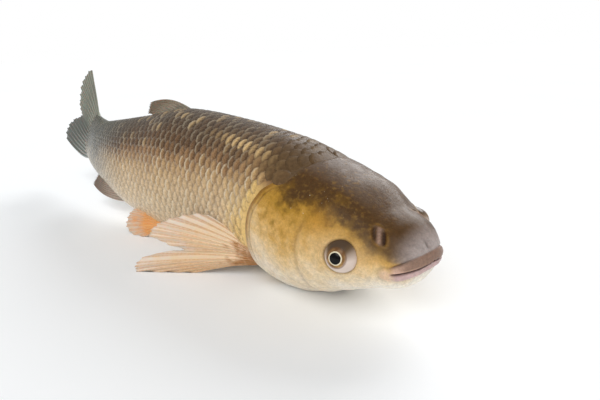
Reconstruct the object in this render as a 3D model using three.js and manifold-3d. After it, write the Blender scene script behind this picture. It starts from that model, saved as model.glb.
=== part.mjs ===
// A whole raw river fish, lying upright on its belly with its paired fins spread on the table.
// Millimetres, +Z up, +X towards the snout, +Y to the fish's left, origin under the middle of its box.
//
// The body is first drawn along a straight line: s runs from the snout to the tail, y to the
// fish's left and z up. place() then carries it onto the bent, slightly twisted backbone.
import * as THREE from 'three';
import { mergeVertices } from 'three/addons/utils/BufferGeometryUtils.js';
import Module from 'manifold-3d';

// Driving dimensions.
const BODY_LENGTH = 400; // snout to the end of the scaled body, without the tail fin
const FLOOR = -40.5; // height of the table below the line through the snout
const NOSE = { tip: 1.6, rounding: 20 }; // where the snout begins, and over what length it rounds off
const SECTION_POWER = 2.2; // 2 is an ellipse, more is squarer
const HEAD_LENGTH = 102; // snout to the rear edge of the gill cover at mid height
const RING_POINTS = 46;

// Where the outline changes: distance from the snout, height of the back, of the belly, half width.
const STATIONS = [
  { at: 0, top: 12.5, bottom: -18, half: 17 },
  { at: 24, top: 16.4, bottom: -22.5, half: 23.9 },
  { at: 48, top: 29.5, bottom: -32, half: 35 },
  { at: 80, top: 38.5, bottom: -42, half: 39.5 },
  { at: 108, top: 45, bottom: -42.5, half: 37.5 },
  { at: 160, top: 49, bottom: -45, half: 37 },
  { at: 212, top: 51, bottom: -45.5, half: 34.5 },
  { at: 264, top: 41.5, bottom: -39, half: 24 },
  { at: 320, top: 31, bottom: -27.5, half: 15.5 },
  { at: 368, top: 22.5, bottom: -24, half: 10.5 },
  { at: BODY_LENGTH, top: 20.5, bottom: -23.5, half: 4.5 },
];

// How the backbone bends: yaw swings it sideways, pitch lifts it, twist rolls it, in degrees.
const SPINE_END = 500;
const YAW = [[0, 0], [90, -0.5], [160, -7.5], [235, -17], [320, -1], [375, 6.5], [SPINE_END, 7]];
const PITCH = [[0, 0], [80, 0.2], [160, 3.1], [280, 3.1], [385, 8], [430, 26], [SPINE_END, 28]];
const TWIST = [[0, 3], [60, 3], [130, -1], [300, -15], [400, -19.5], [SPINE_END, -21]];

// A smooth curve through a few points that doesn't overshoot them.
function smoothThrough(points) {
  const x = points.map((p) => p[0]);
  const y = points.map((p) => p[1]);
  const last = x.length - 1;
  const rise = x.slice(1).map((value, i) => (y[i + 1] - y[i]) / (value - x[i]));
  const slope = x.map((value, i) => {
    if (i === 0) return rise[0];
    if (i === last) return rise[last - 1];
    const before = rise[i - 1];
    const after = rise[i];
    return before * after <= 0 ? 0 : (2 * before * after) / (before + after);
  });
  return (at) => {
    const t = THREE.MathUtils.clamp(at, x[0], x[last]);
    let i = 0;
    while (i < last - 1 && t > x[i + 1]) i += 1;
    const span = x[i + 1] - x[i];
    const u = (t - x[i]) / span;
    const v = 1 - u;
    const ends = y[i] * v * v * (1 + 2 * u) + y[i + 1] * u * u * (3 - 2 * u);
    return ends + span * u * v * (slope[i] * v - slope[i + 1] * u);
  };
}

const top = smoothThrough(STATIONS.map((p) => [p.at, p.top]));
const bottom = smoothThrough(STATIONS.map((p) => [p.at, p.bottom]));
const halfWidth = smoothThrough(STATIONS.map((p) => [p.at, p.half]));
const smoothstep = THREE.MathUtils.smoothstep;
const bell = (distance, width) => Math.exp(-((distance / width) ** 2));
const radians = THREE.MathUtils.degToRad;

// The backbone's axes at each millimetre: an origin, and the directions tailwards, left and up.
function traceSpine() {
  const yaw = smoothThrough(YAW);
  const pitch = smoothThrough(PITCH);
  const twist = smoothThrough(TWIST);
  const frames = [];
  const origin = new THREE.Vector3();
  for (let s = 0; s <= SPINE_END; s += 1) {
    const swing = radians(yaw(s));
    const lift = radians(pitch(s));
    const roll = radians(twist(s));
    const tailwards = new THREE.Vector3(
      -Math.cos(swing) * Math.cos(lift), Math.sin(swing) * Math.cos(lift), Math.sin(lift));
    const flatLeft = new THREE.Vector3(Math.sin(swing), Math.cos(swing), 0);
    const flatUp = new THREE.Vector3().crossVectors(flatLeft, tailwards);
    const left = flatLeft.clone().multiplyScalar(Math.cos(roll)).addScaledVector(flatUp, Math.sin(roll));
    const up = flatUp.clone().multiplyScalar(Math.cos(roll)).addScaledVector(flatLeft, -Math.sin(roll));
    frames.push({ origin: origin.clone(), tailwards, left, up });
    origin.add(tailwards);
  }
  return frames;
}

const SPINE = traceSpine();

function spineFrame(s) {
  return SPINE[Math.round(THREE.MathUtils.clamp(s, 0, SPINE_END))];
}

// A point of the straight fish, carried onto the bent backbone.
function place(s, y, z) {
  const frame = spineFrame(s);
  return frame.origin.clone()
    .addScaledVector(frame.tailwards, s - Math.round(THREE.MathUtils.clamp(s, 0, SPINE_END)))
    .addScaledVector(frame.left, y)
    .addScaledVector(frame.up, z);
}

// The bare skin of the straight fish. The angle runs round the section from the left side, and
// its level is -1 at the belly, 0 at the flank and 1 at the back.
const signedPower = (value) => Math.sign(value) * Math.abs(value) ** (2 / SECTION_POWER);
const levelOf = (angle) => signedPower(Math.sin(angle));
const angleAt = (level) => Math.asin(Math.sign(level) * Math.abs(level) ** (SECTION_POWER / 2));

// How much of its full section the rounded snout has.
function noseShare(s) {
  const ahead = 1 - THREE.MathUtils.clamp((s - NOSE.tip) / NOSE.rounding, 0, 1);
  return Math.sqrt(1 - ahead ** 2);
}

function bareSkin(s, angle) {
  const nose = noseShare(s);
  const middle = (top(s) + bottom(s)) / 2;
  const halfHeight = ((top(s) - bottom(s)) / 2) * nose;
  const y = halfWidth(s) * nose * signedPower(Math.cos(angle));
  return new THREE.Vector3(s, y, middle + halfHeight * levelOf(angle));
}

function skinNormal(s, angle) {
  const step = 0.02;
  const along = bareSkin(s + step, angle).sub(bareSkin(Math.max(s - step, NOSE.tip), angle));
  const round = bareSkin(s, angle + step).sub(bareSkin(s, angle - step));
  return round.cross(along).normalize();
}

// The head: gill cover, cheek plate, mouth, nostrils and eyes, all alike on both sides. An edge
// gives its distance from the snout at each level, and fades out towards the back of the head.
const GILL = {
  edge: smoothThrough(
    [[-1, 80], [-0.8, 98], [-0.6, 105], [-0.2, 104], [0.15, 100.5], [0.5, 92], [0.8, 84], [1, 80]]),
  lift: 2.2, ramp: 30, groove: 1.6, grooveWidth: 5, topLevel: 0.78, fade: 0.25,
};
const CHEEK = {
  edge: smoothThrough([[-1, 62], [-0.4, 60.5], [0, 60.5], [0.3, 58], [0.6, 54]]),
  lift: 0.7, liftWidth: 5, groove: 0.8, grooveWidth: 2.5, topLevel: 0.62, fade: 0.3,
};
const MOUTH = { corner: 13.5, front: -2.75, fall: -4, power: 0.6, depth: 4.5, open: 1.3 };
const LIP = { thickness: 6, thinning: 0.45, upper: 1.2, lower: 1.6, overbite: 2.6 };
const NOSTRIL = { s: 21.5, level: 0.74, mound: 10, proud: 0.8, pit: 3.6 };
const EYE = { s: 35.3, level: 0.1, radius: 8.8, sunk: 1.9, cornea: 0.8, mound: 3, moundWidth: 12 };
const SOCKET_GAP = 0.3;

function gillRelief(s, level) {
  const behind = s - GILL.edge(level);
  const seen = smoothstep(GILL.topLevel - level, 0, GILL.fade);
  const cover = behind < 0.5 ? smoothstep(behind, -GILL.ramp, -2) * GILL.lift : 0;
  const groove = behind > -0.5 ? -GILL.groove * bell(behind - 1.2, GILL.grooveWidth) : 0;
  return (cover + groove) * seen;
}

function cheekRelief(s, level) {
  const behind = s - CHEEK.edge(level);
  const seen = smoothstep(CHEEK.topLevel - level, 0, CHEEK.fade);
  const ridge = CHEEK.lift * bell(behind + CHEEK.liftWidth, CHEEK.liftWidth);
  return seen * (ridge - CHEEK.groove * bell(behind - 1.5, CHEEK.grooveWidth));
}

const mouthLine = (s) => MOUTH.front + MOUTH.fall * Math.min(s / MOUTH.corner, 1.4) ** MOUTH.power;

function lipRelief(s, z) {
  const above = z - mouthLine(s);
  const thickness = LIP.thickness * (1 - LIP.thinning * Math.min(s / MOUTH.corner, 1));
  const middle = thickness * 0.6;
  const swell = LIP.upper * bell(above - middle, middle) + LIP.lower * bell(above + middle, middle);
  const front = smoothstep(s, NOSE.tip, NOSE.tip + 5);
  const rear = 1 - smoothstep(s, MOUTH.corner - 4, MOUTH.corner + 6);
  const nearTip = 1 - smoothstep(s, NOSE.tip + 1, NOSE.tip + 10);
  return swell * front * rear - LIP.overbite * smoothstep(-above, -0.5, 2.5) * nearTip;
}

// The skin swells a little round each eye.
const besideEye = bareSkin(EYE.s, angleAt(EYE.level));

function orbitRelief(point) {
  const mirrored = new THREE.Vector3(point.x, Math.abs(point.y), point.z);
  return EYE.mound * bell(mirrored.distanceTo(besideEye), EYE.moundWidth);
}

function skin(s, angle) {
  const point = bareSkin(s, angle);
  const level = levelOf(angle);
  const plates = gillRelief(s, level) + cheekRelief(s, level);
  const lift = plates + lipRelief(s, point.z) + orbitRelief(point);
  return point.addScaledVector(skinNormal(s, angle), lift);
}

// Rings stand close together on the head, and those within reach of the gill cover follow its edge.
const GILL_REACH = 62;

function ringStations() {
  const stations = [0.35, 1.4, 3, 5, 7.4].map((s) => NOSE.tip + s);
  while (stations.at(-1) < HEAD_LENGTH - 6) stations.push(stations.at(-1) + 4.1);
  stations.push(HEAD_LENGTH - 0.4, HEAD_LENGTH + 1.2, HEAD_LENGTH + 6);
  while (stations.at(-1) < BODY_LENGTH - 12) stations.push(stations.at(-1) + 13);
  stations.push(BODY_LENGTH);
  return stations;
}

function followGill(s, angle) {
  const near = Math.max(0, 1 - ((s - HEAD_LENGTH) / GILL_REACH) ** 2) ** 2;
  return s + (GILL.edge(levelOf(angle)) - HEAD_LENGTH) * near;
}

// A closed mesh from rings of points, with a single point at either end.
function loft(rings, first, last) {
  const count = rings[0].length;
  const points = [first, ...rings.flat(), last];
  const faces = [];
  for (let j = 0; j < count; j += 1) {
    const k = (j + 1) % count;
    faces.push(0, 1 + j, 1 + k);
    for (let i = 0; i < rings.length - 1; i += 1) {
      const here = 1 + i * count;
      const next = here + count;
      faces.push(here + j, next + k, here + k, here + j, next + j, next + k);
    }
    const end = 1 + (rings.length - 1) * count;
    faces.push(end + j, points.length - 1, end + k);
  }
  return meshOf(points, faces);
}

function meshOf(points, faces) {
  const geometry = new THREE.BufferGeometry();
  const numbers = points.flatMap((p) => [p.x, p.y, p.z]);
  geometry.setAttribute('position', new THREE.Float32BufferAttribute(numbers, 3));
  geometry.setIndex(faces);
  return geometry;
}

function trunkAndHead() {
  const rings = ringStations().map((station) => Array.from({ length: RING_POINTS }, (unused, j) => {
    const angle = (j / RING_POINTS) * Math.PI * 2 - Math.PI / 2;
    const p = skin(followGill(station, angle), angle);
    return place(p.x, p.y, p.z);
  }));
  const root = bareSkin(BODY_LENGTH + 3, 0);
  return loft(rings, place(NOSE.tip, 0, bareSkin(NOSE.tip, 0).z), place(root.x, 0, root.z));
}

// A fin is a thin fan. fan(across, along) gives its middle surface, with along 0 at the root
// and 1 at the margin. The rays are ridges on both faces, and the margin has a scallop for each.
const WEB = { reach: 0.975, thickness: 0.62 }; // of the ray's

function fin({ rays, steps, rootThickness, edgeThickness, fan }) {
  const columns = rays * 2;
  const sides = [[], []];
  for (let i = 0; i <= columns; i += 1) {
    const across = i / columns;
    const onRay = i % 2 === 1 || i === 0 || i === columns;
    for (let j = 0; j <= steps; j += 1) {
      const along = (j / steps) * (onRay ? 1 : WEB.reach);
      const nudge = 0.01;
      const before = fan(Math.max(across - nudge, 0), along);
      const widthways = fan(Math.min(across + nudge, 1), along).sub(before);
      const lengthways = fan(across, along + nudge).sub(fan(across, along - nudge));
      const normal = widthways.cross(lengthways).normalize();
      const ray = THREE.MathUtils.lerp(rootThickness, edgeThickness, along);
      const thickness = onRay ? ray : ray * WEB.thickness;
      const middle = fan(across, along);
      sides[0].push(middle.clone().addScaledVector(normal, thickness / 2));
      sides[1].push(middle.clone().addScaledVector(normal, -thickness / 2));
    }
  }
  const count = sides[0].length;
  const row = steps + 1;
  const faces = [];
  const wall = (a, b) => faces.push(a, b, count + b, a, count + b, count + a);
  for (let i = 0; i < columns; i += 1) {
    for (let j = 0; j < steps; j += 1) {
      const a = i * row + j;
      faces.push(a, a + row, a + row + 1, a, a + row + 1, a + 1);
      const b = count + a;
      faces.push(b, b + row + 1, b + row, b, b + 1, b + row + 1);
    }
    wall(i * row + steps, (i + 1) * row + steps);
    wall((i + 1) * row, i * row);
  }
  for (let j = 0; j < steps; j += 1) {
    wall(j, j + 1);
    wall(columns * row + j + 1, columns * row + j);
  }
  return meshOf([...sides[0], ...sides[1]], faces);
}

// The dorsal and the anal fin lie folded back along the body, side is 1 above and -1 below. Each
// loses most of its height towards the rear, and is rooted a little way inside the body.
const FOLDED = { slope: 0.78, rooted: 3 };

function foldedFin({ from, to, tip, height, rays, side, lean }) {
  const edge = side > 0 ? top : bottom;
  return fin({
    rays,
    steps: 4,
    rootThickness: 2.4,
    edgeThickness: 1.1,
    fan: (across, along) => {
      const root = THREE.MathUtils.lerp(from, to, across);
      const s = root + (tip - root) * along;
      const rise = height * (1 - FOLDED.slope * across) * Math.sin((Math.PI / 2) * Math.min(along, 1));
      const base = THREE.MathUtils.lerp(edge(root), edge(s), along);
      return place(s, lean * rise, base + side * (rise - FOLDED.rooted * (1 - along)));
    },
  });
}

// The tail fin is forked, and its upper lobe is cupped. Its spread is the angle of its outer rays.
const TAIL = { root: 388, halfRoot: 20, middle: -1.5, spread: 18.6, cup: -29, belly: 3 };
const TAIL_RAYS = smoothThrough(
  [[-1, 82], [-0.85, 89], [-0.6, 86], [-0.35, 76], [0, 61], [0.35, 64], [0.6, 73], [0.85, 81], [1, 84]]);

function tailFin() {
  return fin({
    rays: 18,
    steps: 5,
    rootThickness: 4,
    edgeThickness: 1.1,
    fan: (across, along) => {
      const level = across * 2 - 1;
      const angle = radians(TAIL.spread * level);
      const length = TAIL_RAYS(level) * along;
      const belly = Math.min(level, 0) * TAIL.belly * Math.sin(Math.PI * along);
      const rise = level * TAIL.halfRoot + Math.sin(angle) * length + belly;
      const cup = level > 0 ? TAIL.cup * level * (1 - level) * along ** 2 : 0;
      return place(TAIL.root + Math.cos(angle) * length, cup, TAIL.middle + rise);
    },
  });
}

// A paired fin fans out from a short root on the body. Each of its rays is aimed by a direction
// tailwards, outwards and up, and a length. Short rays between long ones split it in two lobes.
const PAIRED_ROOT_DEPTH = 2.5;

function pairedFin({ side, root, aims, lengths, droop, rays, steps }) {
  const aimed = (axis) => smoothThrough(aims.map(([across, ...aim]) => [across, aim[axis]]));
  const shape = [0, 1, 2].map(aimed);
  const length = smoothThrough(lengths);
  const frame = spineFrame(root.s);
  const middle = (top(root.s) + bottom(root.s)) / 2;
  const halfHeight = (top(root.s) - bottom(root.s)) / 2;
  return fin({
    rays,
    steps,
    rootThickness: 3.2,
    edgeThickness: 1,
    fan: (across, along) => {
      const level = THREE.MathUtils.lerp(root.low, root.high, across);
      const share = (1 - Math.abs(level) ** SECTION_POWER) ** (1 / SECTION_POWER);
      const width = halfWidth(root.s) * share - PAIRED_ROOT_DEPTH;
      const [tailwards, outwards, up] = shape.map((value) => value(across));
      const reach = (length(across) * along) / Math.hypot(tailwards, outwards, up);
      const sag = droop * along * (1 - along) * 4;
      return place(root.s + root.slant * (1 - across), side * width, middle + level * halfHeight)
        .addScaledVector(frame.tailwards, tailwards * reach)
        .addScaledVector(frame.left, side * outwards * reach)
        .addScaledVector(frame.up, up * reach + sag);
    },
  });
}

const PECTORAL = {
  root: { s: 107, low: -0.74, high: -0.44, slant: 3 },
  aims: [[0, 0.77, 0.6, -0.24], [0.3, 0.78, 0.62, -0.12], [0.45, 0.83, 0.55, -0.02],
    [0.7, 0.85, 0.52, 0.16], [1, 0.92, 0.22, 0.36]],
  lengths: [[0, 64], [0.08, 77], [0.2, 87], [0.33, 87], [0.42, 70], [0.47, 52], [0.52, 62],
    [0.6, 76], [0.72, 71], [0.86, 58], [1, 42]],
  droop: 1.5,
  rays: 14,
  steps: 5,
};

const PELVIC = {
  root: { s: 210, low: -0.86, high: -0.72, slant: 4 },
  aims: [[0, 0.87, 0.22, -0.42], [0.35, 0.95, 0.1, -0.26], [0.6, 0.98, 0, -0.16],
    [1, 0.985, -0.08, 0.03]],
  lengths: [[0, 31], [0.2, 44], [0.6, 56], [0.8, 54], [1, 46]],
  droop: 0.5,
  rays: 8,
  steps: 4,
};

const DORSAL = { from: 211, to: 260, tip: 274, height: 12, rays: 9, side: 1, lean: 0.12 };
const ANAL = { from: 279, to: 322, tip: 354, height: 13, rays: 9, side: -1, lean: -0.3 };

// The eyeball turns round its line of sight: a ball with the clear front standing a little proud.
function eyeAxes(side) {
  const angle = angleAt(EYE.level);
  const surface = bareSkin(EYE.s, angle);
  const sight = skinNormal(EYE.s, angle).lerp(new THREE.Vector3(0, 1, 0), 0.35).normalize();
  const centre = surface.addScaledVector(sight, -EYE.sunk);
  const at = place(centre.x, side * centre.y, centre.z);
  const ahead = place(centre.x + sight.x, side * (centre.y + sight.y), centre.z + sight.z);
  return { at, sight: ahead.sub(at).normalize() };
}

function eyeball(side) {
  const steps = 14;
  const profile = Array.from({ length: steps + 1 }, (unused, i) => {
    const turn = (i / steps) * Math.PI - Math.PI / 2;
    const bulge = EYE.cornea * smoothstep(Math.sin(turn), 0.6, 0.95);
    const x = i === 0 || i === steps ? 0 : Math.cos(turn) * EYE.radius;
    return new THREE.Vector2(x, Math.sin(turn) * EYE.radius + bulge);
  });
  const geometry = new THREE.LatheGeometry(profile, 24);
  const { at, sight } = eyeAxes(side);
  const turn = new THREE.Quaternion().setFromUnitVectors(new THREE.Vector3(0, 1, 0), sight);
  return geometry.applyQuaternion(turn).translate(at.x, at.y, at.z);
}

const wasm = await Module();
wasm.setup();

function toSolid(geometry) {
  const bare = geometry.clone();
  bare.deleteAttribute('normal');
  bare.deleteAttribute('uv');
  const merged = mergeVertices(bare, 1e-4);
  const vertProperties = new Float32Array(merged.attributes.position.array);
  const triVerts = new Uint32Array(merged.index.array);
  return new wasm.Manifold(new wasm.Mesh({ numProp: 3, vertProperties, triVerts }));
}

function toGeometry(solid) {
  const mesh = solid.getMesh();
  const geometry = new THREE.BufferGeometry();
  geometry.setAttribute('position', new THREE.BufferAttribute(new Float32Array(mesh.vertProperties), 3));
  geometry.setIndex(new THREE.BufferAttribute(new Uint32Array(mesh.triVerts), 1));
  return geometry;
}

function socket(side) {
  const { at } = eyeAxes(side);
  return new THREE.SphereGeometry(EYE.radius + SOCKET_GAP, 20, 12).translate(at.x, at.y, at.z);
}

// The mouth is a wedge that follows the mouth line round the snout, from corner to corner.
function mouthCut() {
  const columns = 22;
  const rings = [];
  for (let i = 1; i < columns; i += 1) {
    const across = (2 * i - columns) / columns + 0.02;
    const s = THREE.MathUtils.lerp(NOSE.tip, MOUTH.corner, across ** 2);
    const height = ((top(s) - bottom(s)) / 2) * noseShare(s);
    const level = (mouthLine(s) - (top(s) + bottom(s)) / 2) / height;
    const angle = angleAt(THREE.MathUtils.clamp(level, -0.95, 0.95));
    const outwards = skinNormal(s, angle);
    const corner = (reach, open) => {
      const point = bareSkin(s, angle).addScaledVector(outwards, reach);
      return place(point.x, Math.sign(across) * point.y, mouthLine(s) + open);
    };
    const open = MOUTH.open * (1 - 0.5 * across ** 2);
    rings.push([corner(3, -open), corner(3, open), corner(-MOUTH.depth, 0.2), corner(-MOUTH.depth, -0.2)]);
  }
  const end = (side) => {
    const point = bareSkin(MOUTH.corner, angleAt(-0.5));
    return place(point.x, side * point.y, mouthLine(MOUTH.corner));
  };
  return loft(rings, end(-1), end(1));
}

// A nostril is a low mound with a pit in it.
function nostril(side) {
  const angle = angleAt(NOSTRIL.level);
  const outwards = skinNormal(NOSTRIL.s, angle);
  const ball = (radius, height) => {
    const point = bareSkin(NOSTRIL.s, angle).addScaledVector(outwards, height);
    const at = place(point.x, side * point.y, point.z);
    return new THREE.SphereGeometry(radius, 14, 10).translate(at.x, at.y, at.z);
  };
  return {
    mound: ball(NOSTRIL.mound, NOSTRIL.proud - NOSTRIL.mound),
    pit: ball(NOSTRIL.pit, NOSTRIL.proud),
  };
}

// Everything below the table is pared away, which leaves the flat of the belly that it lies on.
function belowTable() {
  const size = 1200;
  return new THREE.BoxGeometry(size, size, size).translate(0, 0, FLOOR - size / 2);
}

function fishBody() {
  let solid = toSolid(trunkAndHead());
  const fins = [foldedFin(DORSAL), foldedFin(ANAL), tailFin()];
  for (const side of [-1, 1]) {
    fins.push(pairedFin({ side, ...PECTORAL }), pairedFin({ side, ...PELVIC }));
  }
  for (const geometry of fins) solid = solid.add(toSolid(geometry));
  for (const side of [-1, 1]) {
    const { mound, pit } = nostril(side);
    solid = solid.add(toSolid(mound)).subtract(toSolid(pit)).subtract(toSolid(socket(side)));
  }
  solid = solid.subtract(toSolid(mouthCut()));
  return toGeometry(solid.subtract(toSolid(belowTable())));
}

function named(name, geometry, colour, roughness) {
  const material = new THREE.MeshStandardMaterial({ color: colour, roughness, metalness: 0 });
  const mesh = new THREE.Mesh(geometry, material);
  mesh.name = name;
  return mesh;
}

const fish = new THREE.Group();
fish.add(named('fish_body', fishBody(), 0x8c7a55, 0.35));
fish.add(named('eye_right', eyeball(-1), 0xb08a4a, 0.08));
fish.add(named('eye_left', eyeball(1), 0xb08a4a, 0.08));

// The origin stands on the table under the middle of the fish's box.
const box = new THREE.Box3().setFromObject(fish);
const middle = box.getCenter(new THREE.Vector3());
fish.position.set(-middle.x, -middle.y, -box.min.z);
fish.updateMatrixWorld(true);

export default fish;
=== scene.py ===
"""A whole raw river fish that lies upright on its belly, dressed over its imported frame.

The fish is measured in millimetres, first along a straight line: s runs from the snout to the
tail, y to the fish's left and z up. BodyForm.place() carries it onto the bent backbone and turns
it into the scene's metres.
"""

import logging
import math
from dataclasses import dataclass, field
from enum import Enum

import bpy
import numpy as np
from mathutils import Matrix, Vector


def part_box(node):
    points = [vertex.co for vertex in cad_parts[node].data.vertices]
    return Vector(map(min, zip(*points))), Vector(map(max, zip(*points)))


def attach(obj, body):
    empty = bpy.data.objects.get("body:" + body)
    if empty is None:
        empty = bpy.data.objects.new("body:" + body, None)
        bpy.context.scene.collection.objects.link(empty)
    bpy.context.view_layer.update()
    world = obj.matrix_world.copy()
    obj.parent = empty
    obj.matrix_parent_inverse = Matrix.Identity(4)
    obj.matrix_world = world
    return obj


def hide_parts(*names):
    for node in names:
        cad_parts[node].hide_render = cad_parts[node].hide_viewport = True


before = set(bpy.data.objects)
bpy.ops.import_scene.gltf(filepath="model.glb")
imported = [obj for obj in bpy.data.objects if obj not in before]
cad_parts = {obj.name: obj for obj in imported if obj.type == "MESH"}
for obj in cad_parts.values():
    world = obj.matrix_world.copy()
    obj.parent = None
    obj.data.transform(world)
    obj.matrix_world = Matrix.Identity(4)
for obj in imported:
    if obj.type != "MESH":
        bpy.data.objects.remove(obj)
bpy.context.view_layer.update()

MM = 0.001
BODY = "root"
Array = np.ndarray
Points = tuple[tuple[float, float], ...]
Colour = tuple[float, float, float, float]
Faces = list[tuple[int, ...]]
Socket = bpy.types.NodeSocket

WHITE: Colour = (1.0, 1.0, 1.0, 1.0)

log = logging.getLogger("fish")


class Side(Enum):
    """The two sides of the fish, as the sign of y."""

    RIGHT = -1
    LEFT = 1


class Slot(Enum):
    """The record's material slots."""

    SKIN = "skin"
    EYE = "eye"


# Small helpers for numbers.


def bell(distance: Array, width: float) -> Array:
    """A smooth bump that is 1 at no distance and fades over the width."""
    return np.exp(-((distance / width) ** 2))


def ease(value: Array, low: float, high: float) -> Array:
    """A smooth step from 0 at low to 1 at high; low may be the larger."""
    t = np.clip((np.asarray(value, float) - low) / (high - low), 0.0, 1.0)
    return t * t * (3.0 - 2.0 * t)


def unit(vectors: Array) -> Array:
    """The vectors scaled to a length of 1."""
    return vectors / np.maximum(np.linalg.norm(vectors, axis=-1, keepdims=True), 1e-12)


def to_left(points: Array) -> Array:
    """The points of the straight fish, those of its right side mirrored onto its left."""
    return np.stack([points[..., 0], np.abs(points[..., 1]), points[..., 2]], -1)


class SmoothCurve:
    """A smooth curve through a few points that doesn't overshoot them."""

    def __init__(self, points: Points) -> None:
        """Works out the slope at each point.

        Args:
            points: the (x, y) pairs, in order of x.
        """
        self.x = np.array([p[0] for p in points], float)
        self.y = np.array([p[1] for p in points], float)
        rise = np.diff(self.y) / np.diff(self.x)
        before, after = rise[:-1], rise[1:]
        turns = before * after <= 0
        mean = 2 * before * after / np.where(turns, 1.0, before + after)
        self.slope = np.concatenate([[rise[0]], np.where(turns, 0.0, mean), [rise[-1]]])

    def __call__(self, at: Array) -> Array:
        """The curve's height, held level beyond its ends.

        Args:
            at: the places x.

        Returns:
            The height at each place.
        """
        t = np.clip(at, self.x[0], self.x[-1])
        i = np.clip(np.searchsorted(self.x, t, side="right") - 1, 0, len(self.x) - 2)
        span = self.x[i + 1] - self.x[i]
        u = (t - self.x[i]) / span
        v = 1.0 - u
        ends = self.y[i] * v * v * (1 + 2 * u) + self.y[i + 1] * u * u * (3 - 2 * u)
        return ends + span * u * v * (self.slope[i] * v - self.slope[i + 1] * u)


class Waves:
    """Smooth seeded unevenness, as a sum of a few sine waves in 3-D."""

    def __init__(self, seed: int, size: float, count: int = 9) -> None:
        """Draws the waves.

        Args:
            seed: the seed of the draw.
            size: the typical distance between bumps, in millimetres.
            count: how many waves are added up.
        """
        draw = np.random.default_rng(seed)
        self.turns = draw.normal(size=(count, 3)) * (2.2 / size)
        self.starts = draw.uniform(0, 2 * math.pi, count)

    def __call__(self, points: Array) -> Array:
        """The unevenness at each point, about -1 to 1."""
        phase = points @ self.turns.T + self.starts
        return np.sin(phase).sum(-1) / math.sqrt(len(self.starts))


# The body's form.


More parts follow.
